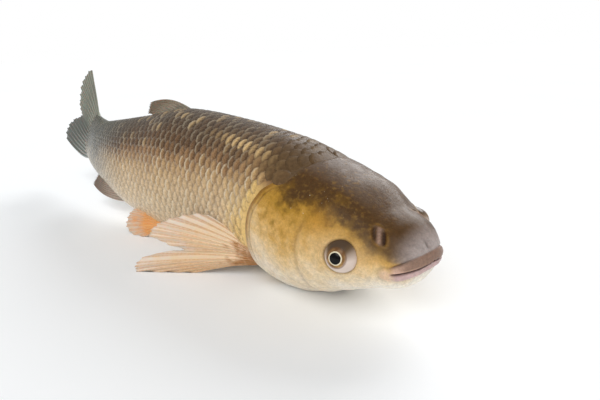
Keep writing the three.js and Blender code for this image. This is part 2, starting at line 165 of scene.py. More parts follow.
@dataclass
class BodyForm:
    """The outline of the fish, and the bend of its backbone."""

    length: float = 400.0
    floor: float = -40.5
    nose_tip: float = 1.6
    nose_rounding: float = 20.0
    section_power: float = 2.2
    spine_end: int = 500
    # Distance from the snout, height of the back, of the belly, half width.
    stations: tuple[tuple[float, float, float, float], ...] = (
        (0, 12.5, -18, 17),
        (24, 16.4, -22.5, 23.9),
        (48, 29.5, -32, 35),
        (80, 38.5, -42, 39.5),
        (108, 45, -42.5, 37.5),
        (160, 49, -45, 37),
        (212, 51, -45.5, 34.5),
        (264, 41.5, -39, 24),
        (320, 31, -27.5, 15.5),
        (368, 22.5, -24, 10.5),
        (400, 20.5, -23.5, 4.5),
    )
    yaw: Points = ((0, 0), (90, -0.5), (160, -7.5), (235, -17), (320, -1), (375, 6.5), (500, 7))
    pitch: Points = ((0, 0), (80, 0.2), (160, 3.1), (280, 3.1), (385, 8), (430, 26), (500, 28))
    twist: Points = ((0, 3), (60, 3), (130, -1), (300, -15), (400, -19.5), (500, -21))
    shift: Array = field(default_factory=lambda: np.zeros(3))

    def __post_init__(self) -> None:
        """Makes the outline's curves and traces the backbone."""
        at, top, bottom, half = zip(*self.stations)
        self.top = SmoothCurve(tuple(zip(at, top)))
        self.bottom = SmoothCurve(tuple(zip(at, bottom)))
        self.half = SmoothCurve(tuple(zip(at, half)))
        s = np.arange(0, self.spine_end + 1.0)
        swing = np.radians(SmoothCurve(self.yaw)(s))
        lift = np.radians(SmoothCurve(self.pitch)(s))
        roll = np.radians(SmoothCurve(self.twist)(s))[:, None]
        self.tailwards = np.stack(
            [-np.cos(swing) * np.cos(lift), np.sin(swing) * np.cos(lift), np.sin(lift)], -1
        )
        flat_left = np.stack([np.sin(swing), np.cos(swing), np.zeros_like(s)], -1)
        flat_up = np.cross(flat_left, self.tailwards)
        self.left = flat_left * np.cos(roll) + flat_up * np.sin(roll)
        self.up = flat_up * np.cos(roll) - flat_left * np.sin(roll)
        steps = np.cumsum(self.tailwards, 0)
        self.origin = np.vstack([np.zeros(3), steps[:-1]])

    def place(self, points: Array) -> Array:
        """Carries points of the straight fish onto the bent backbone.

        Args:
            points: an array of (s, y, z) in millimetres.

        Returns:
            The points in the scene, still in millimetres.
        """
        s = points[..., 0]
        inside = np.clip(s, 0, self.spine_end - 1e-6)
        low = np.floor(inside).astype(int)
        share = (inside - low)[..., None]

        def between(values: Array) -> Array:
            """The backbone's values between two whole millimetres."""
            return values[low] * (1 - share) + values[low + 1] * share

        spare = (s - inside)[..., None]
        return (
            between(self.origin)
            + between(self.tailwards) * spare
            + between(self.left) * points[..., 1:2]
            + between(self.up) * points[..., 2:3]
            + self.shift
        )

    def level(self, angle: Array) -> Array:
        """How high an angle of the section is: -1 at the belly, 0 at the flank, 1 at the back."""
        sine = np.sin(angle)
        return np.sign(sine) * np.abs(sine) ** (2 / self.section_power)

    def angle_at(self, level: Array) -> Array:
        """The angle of the left side that is at a level."""
        level = np.clip(level, -1, 1)
        return np.arcsin(np.sign(level) * np.abs(level) ** (self.section_power / 2))

    def nose_share(self, s: Array) -> Array:
        """How much of its full section the snout has at s."""
        t = np.clip((s - self.nose_tip) / self.nose_rounding, 0, 1)
        return np.sqrt(np.maximum(1 - (1 - t) ** 2, 0))

    def middle(self, s: Array) -> Array:
        """The height of the middle of the section."""
        return (self.top(s) + self.bottom(s)) / 2

    def half_height(self, s: Array) -> Array:
        """Half the height of the full section."""
        return (self.top(s) - self.bottom(s)) / 2

    def bare(self, s: Array, angle: Array) -> Array:
        """Points of the bare skin.

        Args:
            s: distances from the snout.
            angle: angles round the section, 0 at the left flank and a quarter turn at the back.

        Returns:
            The points, on the straight fish.
        """
        s, angle = np.broadcast_arrays(np.asarray(s, float), np.asarray(angle, float))
        nose = self.nose_share(s)
        cosine = np.cos(angle)
        across = np.sign(cosine) * np.abs(cosine) ** (2 / self.section_power)
        height = self.half_height(s) * nose
        y = self.half(s) * nose * across
        return np.stack([s, y, self.middle(s) + height * self.level(angle)], -1)

    def normal(self, s: Array, angle: Array) -> Array:
        """The outward directions of the bare skin.

        Args:
            s: distances from the snout.
            angle: angles round the section.

        Returns:
            The directions, on the straight fish.
        """
        step = 0.02
        along = self.bare(s + step, angle) - self.bare(np.maximum(s - step, self.nose_tip), angle)
        around = self.bare(s, angle + step) - self.bare(s, angle - step)
        return unit(np.cross(around, along))

    def girth_table(self) -> tuple[Array, Array, Array]:
        """How far round each section an angle is.

        Returns:
            The distances s, the angles from belly to back, and for each pair the share of
            the half girth between the belly and that angle.
        """
        s = np.linspace(self.nose_tip + 4, self.length, 100)
        angles = np.linspace(-math.pi / 2, math.pi / 2, 181)
        points = self.bare(s[:, None], angles[None, :])
        steps = np.linalg.norm(np.diff(points[..., 1:], axis=1), axis=-1)
        reach = np.concatenate([np.zeros((len(s), 1)), np.cumsum(steps, 1)], 1)
        return s, angles, reach / reach[:, -1:]


# Making meshes and node trees.


def link(thing: bpy.types.Object) -> None:
    """Puts an object into the scene."""
    bpy.context.scene.collection.objects.link(thing)


def add_marks(mesh: bpy.types.Mesh, marks: dict[str, Array]) -> None:
    """Stores named values on a mesh.

    Args:
        mesh: the mesh.
        marks: for each mark's name one number per vertex.
    """
    for key, values in marks.items():
        layer = mesh.attributes.new(key, "FLOAT", "POINT")
        layer.data.foreach_set("value", np.asarray(values, np.float32).ravel())


def new_piece(
    name: str,
    points: Array,
    faces: Faces,
    material: bpy.types.Material,
    marks: dict[str, Array],
) -> bpy.types.Object:
    """Makes a smooth mesh object at the origin, with one number per vertex for each mark.

    Args:
        name: the object's name.
        points: the vertices, in the scene's millimetres.
        faces: the faces, as lists of vertex numbers.
        material: the finish.
        marks: named values that the finish reads.

    Returns:
        The new object.
    """
    mesh = bpy.data.meshes.new(name)
    mesh.from_pydata((points * MM).tolist(), [], [list(map(int, f)) for f in faces])
    mesh.update()
    mesh.shade_smooth()
    add_marks(mesh, marks)
    mesh.materials.append(material)
    piece = bpy.data.objects.new(name, mesh)
    link(piece)
    return piece


def enlist(piece: bpy.types.Object, node: str) -> bpy.types.Object:
    """Puts a finished piece on the frame in the place of a node.

    Args:
        piece: the finished piece.
        node: the CAD node that it stands for.

    Returns:
        The same piece.
    """
    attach(piece, BODY)
    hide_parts(node)
    log.info("%s: %d faces", piece.name, len(piece.data.polygons))
    return piece


def shell_faces(rings: int, count: int) -> Faces:
    """The faces of a closed shell of rings with a single point at either end.

    The first point is number 0, the rings follow, and the last point comes last.

    Args:
        rings: how many rings there are.
        count: how many points a ring has.

    Returns:
        The faces, turned outwards where rings run from belly over the left side to the back.
    """
    faces: Faces = []
    last = 1 + rings * count
    for j in range(count):
        k = (j + 1) % count
        faces.append((0, 1 + j, 1 + k))
        faces.append((last - count + j, last, last - count + k))
    starts = 1 + np.arange(rings - 1)[:, None] * count
    here = starts + np.arange(count)[None, :]
    beside = starts + (np.arange(count) + 1)[None, :] % count
    quads = np.stack([here, here + count, beside + count, beside], -1).reshape(-1, 4)
    faces.extend(map(tuple, quads.tolist()))
    return faces


def close_shell(
    name: str,
    first: Array,
    rings: Array,
    last: Array,
    material: bpy.types.Material,
    marks: dict[str, Array],
) -> bpy.types.Object:
    """Makes a closed shell from an array of rings and its two end points.

    Args:
        name: the object's name.
        first: the point at the front.
        rings: an array of rings of points.
        last: the point at the back.
        material: the finish.
        marks: for each mark an array with one value per ring point.

    Returns:
        The new object.
    """
    points = np.vstack([first[None], rings.reshape(-1, 3), last[None]])
    spread = {
        key: np.concatenate([[v.flat[0]], v.ravel(), [v.flat[-1]]]) for key, v in marks.items()
    }
    return new_piece(name, points, shell_faces(*rings.shape[:2]), material, spread)


class Graph:
    """Builds a node tree in a few plain calls."""

    def __init__(self, tree: bpy.types.NodeTree) -> None:
        """Starts on a tree, which it empties.

        Args:
            tree: the tree to build in.
        """
        self.tree = tree
        tree.nodes.clear()

    def add(self, kind: str, settings: dict | None = None, **inputs: object) -> bpy.types.Node:
        """Adds a node, and sets or links its inputs.

        Args:
            kind: the node's type name.
            settings: the node's own properties.
            inputs: values or output sockets by input name; iN stands for input number N.

        Returns:
            The new node.
        """
        node = self.tree.nodes.new(kind)
        for key, value in (settings or {}).items():
            setattr(node, key, value)
        for key, value in inputs.items():
            number = key[1:]
            place = int(number) if key[0] == "i" and number.isdigit() else key.replace("_", " ")
            socket = node.inputs[place]
            if isinstance(value, Socket):
                self.tree.links.new(value, socket)
            else:
                socket.default_value = value
        return node

    def mark(self, name: str) -> Socket:
        """The value of one of the mesh's marks."""
        return self.add("ShaderNodeAttribute", {"attribute_name": name}).outputs["Fac"]

    def calc(self, operation: str, first: object, second: object = 0.0) -> Socket:
        """A Math node's result."""
        node = self.add("ShaderNodeMath", {"operation": operation}, i0=first, i1=second)
        return node.outputs[0]

    def times(self, first: object, second: object) -> Socket:
        """The product of two values."""
        return self.calc("MULTIPLY", first, second)

    def plus(self, first: object, second: object) -> Socket:
        """The sum of two values."""
        return self.calc("ADD", first, second)

    def noise(self, scale: float, detail: float = 3.0) -> Socket:
        """Noise in the piece's own coordinates, mostly from 0.3 to 0.7.

        Args:
            scale: how fine it is.
            detail: how many finer layers it has.

        Returns:
            The noise's socket.
        """
        where = self.add("ShaderNodeTexCoord").outputs["Object"]
        node = self.add("ShaderNodeTexNoise", Vector=where, Scale=scale, Detail=detail)
        return node.outputs["Fac"]

    def span(self, value: object, low: float, high: float, to: tuple = (0.0, 1.0)) -> Socket:
        """The value mapped from low..high onto to[0]..to[1], and held at its ends."""
        node = self.add("ShaderNodeMapRange", i0=value, i1=low, i2=high, i3=to[0], i4=to[1])
        return node.outputs[0]

    def sway(self, noise: Socket, low: float, high: float) -> Socket:
        """Noise stretched so that it mostly runs from low to high."""
        return self.span(noise, 0.3, 0.7, (low, high))

    def grey(self, value: Socket) -> Socket:
        """A grey as bright as the value."""
        return self.add("ShaderNodeCombineColor", Red=value, Green=value, Blue=value).outputs[0]

    def ramp(self, factor: object, stops: tuple) -> Socket:
        """A colour ramp.

        Args:
            factor: the socket that picks the colour.
            stops: pairs of a place from 0 to 1 and a colour.

        Returns:
            The colour socket.
        """
        node = self.add("ShaderNodeValToRGB", Fac=factor)
        band = node.color_ramp.elements
        while len(band) < len(stops):
            band.new(0.5)
        for element, (place, colour) in zip(band, stops):
            element.position = place
            element.color = colour
        return node.outputs["Color"]

    def blend(self, factor: object, under: object, over: object, kind: str = "MIX") -> Socket:
        """One colour laid over another.

        Args:
            factor: how much of it is laid on.
            under: the colour below.
            over: the colour laid over it.
            kind: the way of laying it on, as the Mix node names it.

        Returns:
            The colour socket.
        """
        node = self.add("ShaderNodeMix", {"data_type": "RGBA", "blend_type": kind})
        for place, value in ((0, factor), (6, under), (7, over)):
            if isinstance(value, Socket):
                self.tree.links.new(value, node.inputs[place])
            else:
                node.inputs[place].default_value = value
        return node.outputs[2]


def paint(red: float, green: float, blue: float) -> Colour:
    """A colour picked on a screen, as the linear colour that a shader takes.

    Args:
        red: its red, 0 to 255.
        green: its green.
        blue: its blue.

    Returns:
        The linear colour, with full cover.
    """
    parts = [c / 255 for c in (red, green, blue)]
    linear = [c / 12.92 if c <= 0.04045 else ((c + 0.055) / 1.055) ** 2.4 for c in parts]
    return (*linear, 1.0)


def finish_surface(graph: Graph, colour: object, relief: object, **settings: object) -> None:
    """Ends a material in its shader.

    Args:
        graph: the material's graph.
        colour: the colour socket or value.
        relief: the socket whose bumps show, or None.
        settings: values or sockets for the shader's inputs; Bump sets the bumps' depth.
    """
    depth = settings.pop("Bump", 0.0003)
    shader = graph.add("ShaderNodeBsdfPrincipled", Base_Color=colour, **settings)
    if relief is not None:
        bump = graph.add("ShaderNodeBump", Height=relief, Distance=depth, Strength=1.0)
        graph.tree.links.new(bump.outputs[0], shader.inputs["Normal"])
    output = graph.add("ShaderNodeOutputMaterial")
    graph.tree.links.new(shader.outputs[0], output.inputs[0])


def new_material(name: str) -> tuple[bpy.types.Material, Graph]:
    """Starts a material.

    Args:
        name: its name.

    Returns:
        The material, and the graph that builds its nodes.
    """
    material = bpy.data.materials.new(name)
    material.use_nodes = True
    return material, Graph(material.node_tree)


# Finishes.


@dataclass(frozen=True)
class HeadSkinFinish:
    """Bare wet skin of the head: dark cap, olive and gold cheeks, cream throat, pink lips, with painted
    sheen on the crest and painted shade in the creases.
    """

    # The crest's grey: partly the skin's own grey, partly painted sheen where the top of the head
    # catches the light.
    crown: Colour = paint(112, 96, 84)
    cap: Colour = paint(86, 60, 32)
    cap_edge: Colour = paint(114, 82, 32)
    olive: Colour = paint(178, 134, 52)
    straw: Colour = paint(208, 162, 84)
    sand: Colour = paint(228, 194, 138)
    cream: Colour = paint(240, 218, 182)
    throat: Colour = paint(246, 236, 220)
    gold: Colour = paint(190, 138, 50)
    tan: Colour = paint(216, 182, 132)
    moss: Colour = paint(126, 98, 34)
    brass: Colour = paint(132, 100, 46)
    lip: Colour = paint(146, 118, 102)
    lip_tan: Colour = paint(216, 178, 156)
    lip_pink: Colour = paint(206, 176, 172)
    snout: Colour = paint(190, 178, 174)
    # Painted shade in the mouth's slit, the folds, the nostril pits and the grooves round the eyes and
    # plates.
    crease: Colour = paint(58, 38, 28)
    membrane: Colour = paint(128, 88, 40)
    speck: Colour = paint(214, 200, 170)

    def make(self) -> bpy.types.Material:
        """Builds the material.

        Returns:
            The finished material.
        """
        material, g = new_material("head_skin")
        broad = g.noise(70, 4)
        patches = g.noise(210, 5)
        grain = g.noise(1100, 4)
        height = g.plus(g.mark("height"), g.sway(broad, -0.16, 0.16))
        height = g.plus(height, g.sway(patches, -0.09, 0.09))
        colour = g.ramp(
            g.span(height, -1.6, 0.6),
            (
                (0.0, self.throat),
                (0.24, self.cream),
                (0.42, self.sand),
                (0.57, self.straw),
                (0.68, self.olive),
                (0.745, self.cap_edge),
                (0.81, self.cap),
            ),
        )
        # The crest of the head turns grey: partly its own colour, partly painted sheen.
        colour = g.blend(g.mark("crown"), colour, self.crown)
        mottle = g.times(g.span(patches, 0.5, 0.66), g.mark("mottle"))
        colour = g.blend(g.times(mottle, 0.62), colour, self.moss)
        fine = g.noise(430, 5)
        brassy = g.times(g.span(fine, 0.54, 0.68), g.span(height, -0.5, 0.0))
        brassy = g.times(brassy, g.span(height, 0.75, 0.2))
        colour = g.blend(g.times(brassy, 0.5), colour, self.brass)
        glow = g.times(g.mark("gold"), g.span(broad, 0.35, 0.65, (0.35, 1.0)))
        colour = g.blend(glow, colour, self.gold)
        colour = g.blend(g.mark("pale"), colour, self.tan)
        colour = g.blend(g.mark("membrane"), colour, self.membrane)
        colour = g.blend(g.mark("snout"), colour, self.snout)
        lips = g.ramp(
            g.mark("lip_pink"), ((0.0, self.lip), (0.55, self.lip_tan), (1.0, self.lip_pink))
        )
        colour = g.blend(g.mark("lip"), colour, lips)
        dark = g.times(g.span(grain, 0.35, 0.65, (0.9, 1.08)), g.sway(fine, 0.84, 1.12))
        colour = g.blend(0.9, colour, g.grey(dark), "MULTIPLY")
        fleck = g.times(g.span(g.noise(620, 1), 0.76, 0.8), g.mark("flecks"))
        colour = g.blend(fleck, colour, self.speck)
        # Painted shade in the slit, the creases, the pits and the grooves.
        colour = g.blend(g.mark("crease"), colour, self.crease)
        relief = g.plus(g.times(grain, 0.5), patches)
        gloss = g.sway(patches, 0.32, 0.46)
        finish_surface(
            g, colour, relief, Bump=0.00022, Roughness=gloss, Specular_IOR_Level=0.1,
            Coat_Weight=0.04, Coat_Roughness=0.12, Subsurface_Weight=0.05, Subsurface_Scale=0.003,
        )
        return material


@dataclass(frozen=True)
class ScaleFinish:
    """Overlapping scales: olive-brown back, brown upper flank with painted golden glints, pale lower
    flank.
    """

    back: Colour = paint(96, 80, 62)
    brown: Colour = paint(110, 80, 50)
    tan: Colour = paint(166, 126, 84)
    sand: Colour = paint(212, 176, 126)
    pale: Colour = paint(236, 208, 166)
    belly: Colour = paint(238, 220, 192)
    slate: Colour = paint(96, 100, 92)
    slate_pale: Colour = paint(120, 114, 100)
    ash: Colour = paint(150, 138, 118)
    ash_pale: Colour = paint(186, 172, 150)
    head: Colour = paint(96, 74, 48)
    # Dark pigment and painted shade where a scale comes out from under the one in front, and along its
    # rear edge.
    pocket: Colour = paint(58, 38, 22)
    # Painted highlight along each scale's rear edge.
    rim: Colour = paint(246, 226, 190)
    # Painted highlight: the golden glints on the scales.
    gold: Colour = paint(228, 190, 130)
    chest: Colour = paint(248, 208, 126)
    ring_angle: float = 42.0

    def body_colour(self, g: Graph) -> Socket:
        """The colour before each scale's own markings.

        Args:
            g: the material's graph.

        Returns:
            The colour socket.
        """
        broad = g.noise(45, 3)
        height = g.plus(g.mark("height"), g.sway(broad, -0.09, 0.09))
        height = g.plus(height, g.span(g.mark("tint"), 0.0, 1.0, (-0.07, 0.07)))
        place = g.span(height, -1.5, 0.7)
        warm = g.ramp(
            place,
            (
                (0.0, self.belly),
                (0.3, self.pale),
                (0.52, self.sand),
                (0.66, self.tan),
                (0.74, self.brown),
                (0.9, self.back),
            ),
        )
        grey = g.ramp(
            place, ((0.1, self.ash_pale), (0.3, self.ash), (0.55, self.slate_pale), (0.85, self.slate))
        )
        colour = g.blend(g.mark("grey"), warm, grey)
        colour = g.blend(g.times(g.mark("nape"), 0.85), colour, self.head)
        return g.blend(g.mark("chest"), colour, self.chest)

    def make(self) -> bpy.types.Material:
        """Builds the material of the scales themselves.

        Returns:
            The finished material.
        """
        material, g = new_material("scales")
        colour = self.body_colour(g)
        fine = g.noise(900, 3)
        reach = g.plus(g.mark("reach"), g.sway(fine, -0.05, 0.05))
        speckle = g.sway(g.noise(520, 4), 0.72, 1.2)
        colour = g.blend(0.8, colour, g.grey(speckle), "MULTIPLY")
        # Painted highlight: golden glints on the rear part of the scales.
        shine = g.times(g.mark("glint"), g.span(reach, 0.55, 0.8))
        colour = g.blend(g.times(shine, speckle), colour, self.gold)
        # Dark at each scale's base and rear edge: partly pigment, partly painted shade.
        pocket = g.times(g.span(reach, 0.84, 0.52), g.mark("pigment"))
        margin = g.times(g.span(g.mark("edge"), 0.84, 1.0), g.mark("pigment"))
        dark = g.calc("MAXIMUM", pocket, g.times(margin, 0.55))
        colour = g.blend(dark, colour, self.pocket)
        # Painted highlight: a thin bright line just inside each scale's rear edge.
        rim_highlight = g.times(g.span(g.mark("edge"), 0.74, 0.86), g.span(reach, 0.74, 0.88))
        rim_highlight = g.times(rim_highlight, g.mark("rim"))
        colour = g.blend(rim_highlight, colour, self.rim)
        rings = g.calc("SINE", g.times(g.mark("edge"), self.ring_angle))
        relief = g.plus(fine, g.times(rings, 0.18))
        gloss = g.sway(fine, 0.2, 0.36)
        gloss = g.plus(gloss, g.times(g.mark("nape"), 0.2))
        finish_surface(
            g, colour, relief, Bump=0.00012, Roughness=gloss, Coat_Weight=0.06, Coat_Roughness=0.1,
            Specular_IOR_Level=g.span(g.mark("nape"), 0.0, 1.0, (0.36, 0.1)),
        )
        return material

    def make_under_skin(self) -> bpy.types.Material:
        """Builds the material of the skin between and behind the scales.

        Returns:
            The finished material.
        """
        material, g = new_material("trunk_skin")
        colour = self.body_colour(g)
        fine = g.noise(700, 4)
        dark = g.sway(fine, 0.8, 1.02)
        colour = g.blend(1.0, colour, g.grey(dark), "MULTIPLY")
        gloss = g.sway(fine, 0.3, 0.45)
        finish_surface(
            g, colour, fine, Bump=0.0002, Roughness=gloss, Specular_IOR_Level=0.25,
            Coat_Weight=0.06, Coat_Roughness=0.12,
        )
        return material


@dataclass(frozen=True)
class FinFinish:
    """Thin skin between bony rays."""

    name: str
    web: Colour
    web_edge: Colour
    ray: Colour
    root: Colour
    upper: Colour | None = None
    see_through: float = 0.12
    joint_angle: float = 260.0

    def make(self) -> bpy.types.Material:
        """Builds the material.

        Returns:
            The finished material.
        """
        material, g = new_material(self.name)
        along = g.mark("along")
        blotch = g.noise(130, 3)
        reach = g.plus(along, g.sway(blotch, -0.16, 0.16))
        colour = g.ramp(
            reach,
            (
                (0.0, self.root),
                (0.1, self.root),
                (0.28, self.web),
                (0.62, self.web),
                (0.95, self.web_edge),
            ),
        )
        if self.upper:
            colour = g.blend(g.span(g.mark("across"), 0.42, 0.6), colour, self.upper)
        streak = g.sway(g.noise(600, 3), 0.55, 1.0)
        ray = g.times(g.mark("ray"), streak)
        colour = g.blend(ray, colour, self.ray)
        joints = g.calc("SINE", g.times(along, self.joint_angle))
        relief = g.plus(g.noise(800, 3), g.times(joints, 0.25))
        finish_surface(
            g, colour, relief, Bump=0.0001, Roughness=0.36, Coat_Weight=0.25,
            Coat_Roughness=0.15, Subsurface_Weight=self.see_through, Subsurface_Scale=0.003,
        )
        return material


@dataclass(frozen=True)
class EyeFinish:
    """A wet eye: black pupil, bright ring, gold-brown iris, pale white of the eye, with painted shade
    over its top.
    """

    pupil: Colour = paint(8, 6, 8)
    ring: Colour = paint(238, 226, 196)
    iris: Colour = paint(176, 138, 84)
    iris_dark: Colour = paint(112, 76, 44)
    white: Colour = paint(226, 208, 196)
    # Painted shade over the top of the eye, where the brow and the lid shadow it.
    brow_shadow: Colour = paint(120, 96, 66)
    lid_shadow: Colour = paint(84, 66, 50)
    pupil_edge: float = 2.9
    ring_edge: float = 3.4
    iris_edge: float = 4.9

    def make(self) -> bpy.types.Material:
        """Builds the material.

        Returns:
            The finished material.
        """
        material, g = new_material("eye")
        out = g.mark("from_sight")
        fibre = g.noise(900, 4)
        out = g.plus(out, g.sway(fibre, -0.06, 0.06))
        iris = g.ramp(g.noise(420, 4), ((0.36, self.iris_dark), (0.6, self.iris)))
        # Painted shade: the top of the eye and of the iris darker, in the brow's and lid's shadow.
        upper = g.span(g.mark("upwards"), 0.0, 0.75)
        white = g.blend(upper, self.white, self.brow_shadow)
        white = g.blend(g.span(g.mark("upwards"), 0.5, 0.9), white, self.lid_shadow)
        iris = g.blend(g.times(upper, 0.65), iris, self.iris_dark)
        edge = self.iris_edge
        rim = g.span(out, edge - 0.5, edge + 0.3)
        colour = g.blend(rim, iris, white)
        line = g.times(g.span(out, edge - 0.4, edge), g.span(out, edge + 0.7, edge + 0.2))
        colour = g.blend(g.times(line, 0.55), colour, self.iris_dark)
        colour = g.blend(g.span(out, self.ring_edge + 0.15, self.ring_edge - 0.1), colour, self.ring)
        inner = g.span(out, self.pupil_edge + 0.08, self.pupil_edge - 0.08)
        colour = g.blend(inner, colour, self.pupil)
        finish_surface(
            g, colour, None, Roughness=0.22, Specular_IOR_Level=0.12, Coat_Weight=0.22,
            Coat_Roughness=0.02, Coat_IOR=1.4,
        )
        return material


# The head.


@dataclass
class HeadFeatures:
    """Where the gill covers, cheeks and eyes are, by distance from the snout and level."""

    gill_at: float = 102.0
    gill_reach: float = 62.0
    gill_lift: float = 2.2
    gill_groove: float = 1.6
    groove_width: float = 5.0
    gill_top: float = 0.78
    gill_full: float = 0.53
    eye_at: float = 35.3
    eye_level: float = 0.1
    eye_radius: float = 8.8
    eye_sunk: float = 1.9
    eye_aside: float = 0.35
    orbit_lift: float = 2.7
    orbit_width: float = 10.5
    gill_points: Points = (
        (-1, 80), (-0.8, 98), (-0.6, 105), (-0.2, 104), (0.15, 100.5), (0.5, 92), (0.8, 84), (1, 80),
    )
    cheek_points: Points = ((-1, 62), (-0.4, 60.5), (0, 60.5), (0.3, 58), (0.6, 54))
    suture_points: Points = ((-0.7, 66), (-0.53, 72.5), (-0.39, 79.7), (-0.25, 84.5), (-0.05, 87.5))
    cap_points: Points = (
        (4, 0.0), (10, 0.08), (19, 0.4), (28, 0.54), (36, 0.62), (44, 0.68), (52, 0.68), (62, 0.58),
        (70, 0.6), (80, 0.68), (92, 0.74),
    )

    def __post_init__(self) -> None:
        """Makes the curves."""
        self.gill_edge = SmoothCurve(self.gill_points)
        self.cheek_edge = SmoothCurve(self.cheek_points)
        self.suture = SmoothCurve(self.suture_points)
        self.cap_edge = SmoothCurve(self.cap_points)

    def follow_gill(self, s: Array, level: Array) -> Array:
        """Moves stations near the gill cover so that they follow its edge."""
        near = np.maximum(0, 1 - ((s - self.gill_at) / self.gill_reach) ** 2) ** 2
        return s + (self.gill_edge(level) - self.gill_at) * near

    def cover_seen(self, level: Array) -> Array:
        """How much of the gill cover's relief there is: all at the sides, none over the nape."""
        return ease(level, self.gill_top, self.gill_full)

    def groove(self, behind: Array, level: Array) -> Array:
        """The lift of the skin in the groove, at distances behind the gill cover's edge."""
        depth = self.gill_groove * bell(np.maximum(behind - 1.2, 0), self.groove_width)
        return -depth * self.cover_seen(level)

    def sight(self, form: BodyForm) -> Array:
        """The way that the left eye looks, on the straight fish."""
        outwards = form.normal(np.array(self.eye_at), form.angle_at(np.array(self.eye_level)))
        return unit(outwards * (1 - self.eye_aside) + np.array([0.0, self.eye_aside, 0.0]))

    def eye(self, form: BodyForm, side: Side) -> tuple[Array, Array]:
        """Where an eye is.

        Args:
            form: the body's form.
            side: which eye.

        Returns:
            The eyeball's centre in the scene, and the direction that it looks in.
        """
        angle = form.angle_at(np.array(self.eye_level))
        sight = self.sight(form)
        centre = form.bare(np.array(self.eye_at), angle) - sight * self.eye_sunk
        mirror = np.array([1.0, side.value, 1.0])
        at = form.place(centre * mirror)
        ahead = form.place((centre + sight) * mirror)
        return at, unit(ahead - at)


@dataclass(frozen=True)
class Patch:
    """A soft patch of the skin: its middle, how long and tall it is, and how strong."""

    at: float
    level: float
    long: float
    tall: float
    strength: float = 1.0

    def __call__(self, s: Array, level: Array) -> Array:
        """How much of the patch there is at places of the skin."""
        return self.strength * bell(s - self.at, self.long) * bell(level - self.level, self.tall)


@dataclass(frozen=True)
class Ridge:
    """A soft ridge along a line of the skin, or a groove where its height is below 0."""

    at: float
    width: float
    height: float

    def __call__(self, distance: Array) -> Array:
        """How high the ridge is at distances from the line."""
        return self.height * bell(distance - self.at, self.width)


@dataclass
class Mouth:
    """The lips, the slit between them, the folds round them and the lobe at each corner."""

    form: BodyForm
    corner: float = 13.5
    front: float = -2.75
    fall: float = -4.0
    curve_power: float = 0.6
    upper_height: float = 7.2
    upper_thinning: float = 0.52
    upper_swell: float = 1.1
    upper_crest: float = 0.42
    lower_height: float = 6.4
    lower_thinning: float = 2.6
    lower_swell: float = 1.9
    lower_crest: float = 0.46
    slit_depth: float = 3.2
    slit_width: float = 0.5
    fold_depth: float = 0.9
    fold_width: float = 0.6
    chin_depth: float = 0.6
    chin_width: float = 1.0
    overbite: float = 2.4
    lobe_at: float = 15.2
    lobe_height: float = -7.3
    lobe_radius: float = 3.2
    lobe_lift: float = 0.6
    lobe_groove: float = 0.5

    def run(self, s: Array) -> Array:
        """How far along the mouth a distance from the snout is, 1 at the corner."""
        return (s - self.form.nose_tip) / (self.corner - self.form.nose_tip)

    def line(self, s: Array) -> Array:
        """The height of the slit."""
        return self.front + self.fall * np.clip(self.run(s), 0, 1.3) ** self.curve_power

    def lobe(self, s: Array, z: Array) -> tuple[Array, Array, Array]:
        """The soft lobe at the corner.

        Args:
            s: distances from the snout.
            z: heights.

        Returns:
            The lobe, the groove behind it, and how much it is lip.
        """
        out = np.hypot(s - self.lobe_at, (z - self.lobe_height) / 1.15)
        behind = ease((s - self.lobe_at) + 0.35 * (z - self.lobe_height), -2.4, 0.6)
        groove = bell(out - self.lobe_radius - 0.3, 0.8) * behind
        is_lip = 0.6 * ease(out, self.lobe_radius + 0.6, self.lobe_radius - 1.6)
        return bell(out, self.lobe_radius * 0.72), groove, is_lip

    def pinkness(self, s: Array, above: Array) -> Array:
        """How pink the lips are: the upper one only beside the slit and towards the corner.

        Args:
            s: distances from the snout.
            above: heights above the slit.

        Returns:
            0 to 1 at each place.
        """
        run = self.run(s)
        near_slit = ease(above, 2.4, 0.4) * ease(run, 0.05, 0.4)
        pink = np.where(above > 0, 0.4 * near_slit + 0.5 * ease(run, 0.4, 0.95), 1.0)
        return np.clip(np.where(s > self.corner, 0.55, pink), 0, 1)

    def relief(self, s: Array, z: Array) -> tuple[Array, Array, Array, Array]:
        """The mouth's shape and colour zones.

        Args:
            s: distances from the snout.
            z: heights.

        Returns:
            The lift, how much it is lip, how pink it is, and how much painted shade lies in the slit
            and creases.
        """
        tip = self.form.nose_tip
        run = np.clip(self.run(s), 0, 1.6)
        above = z - self.line(s)
        seen = 1 - ease(s, self.corner - 2.5, self.corner + 1.5)
        upper = self.upper_height * (1 - self.upper_thinning * np.minimum(run, 1.1))
        lower = self.lower_height - self.lower_thinning * np.minimum(run, 1)
        slit = bell(above, self.slit_width) * (1 - ease(s, self.corner - 2, self.corner + 0.5))
        fold = bell(above - upper, self.fold_width) * seen * (0.45 + 0.55 * ease(run, 0.05, 0.4))
        chin = bell(above + lower, self.chin_width) * seen
        lobe, groove, lobe_skin = self.lobe(s, z)
        crest = upper * self.upper_crest
        swell = bell(above - crest, crest) * (0.5 + 0.5 * ease(s, tip + 1, tip + 6))
        full = self.lower_swell * bell(above + lower * self.lower_crest, lower * 0.4)
        lift = (self.upper_swell * swell + full) * seen * ease(s, tip - 1, tip + 3)
        lift = lift - self.slit_depth * slit - self.fold_depth * fold - self.chin_depth * chin
        lift = lift + self.lobe_lift * lobe - self.lobe_groove * groove
        setback = self.overbite * ease(-above, -0.3, 2.2) * (1 - ease(s, tip + 1, tip + 10))
        band = ease(above, upper + 0.5, upper - 0.5) * ease(above, -lower - 0.6, -lower + 0.6)
        is_lip = np.maximum(band * seen, lobe_skin)
        # Painted shade in the slit, the fold over the upper lip, the crease under the chin and the
        # groove behind the lobe.
        dark = slit * 1.3 + 0.75 * fold * ease(run, 0.25, 0.7) + 0.16 * chin + 0.24 * groove
        return lift - setback, is_lip, self.pinkness(s, above), np.clip(dark, 0, 1)


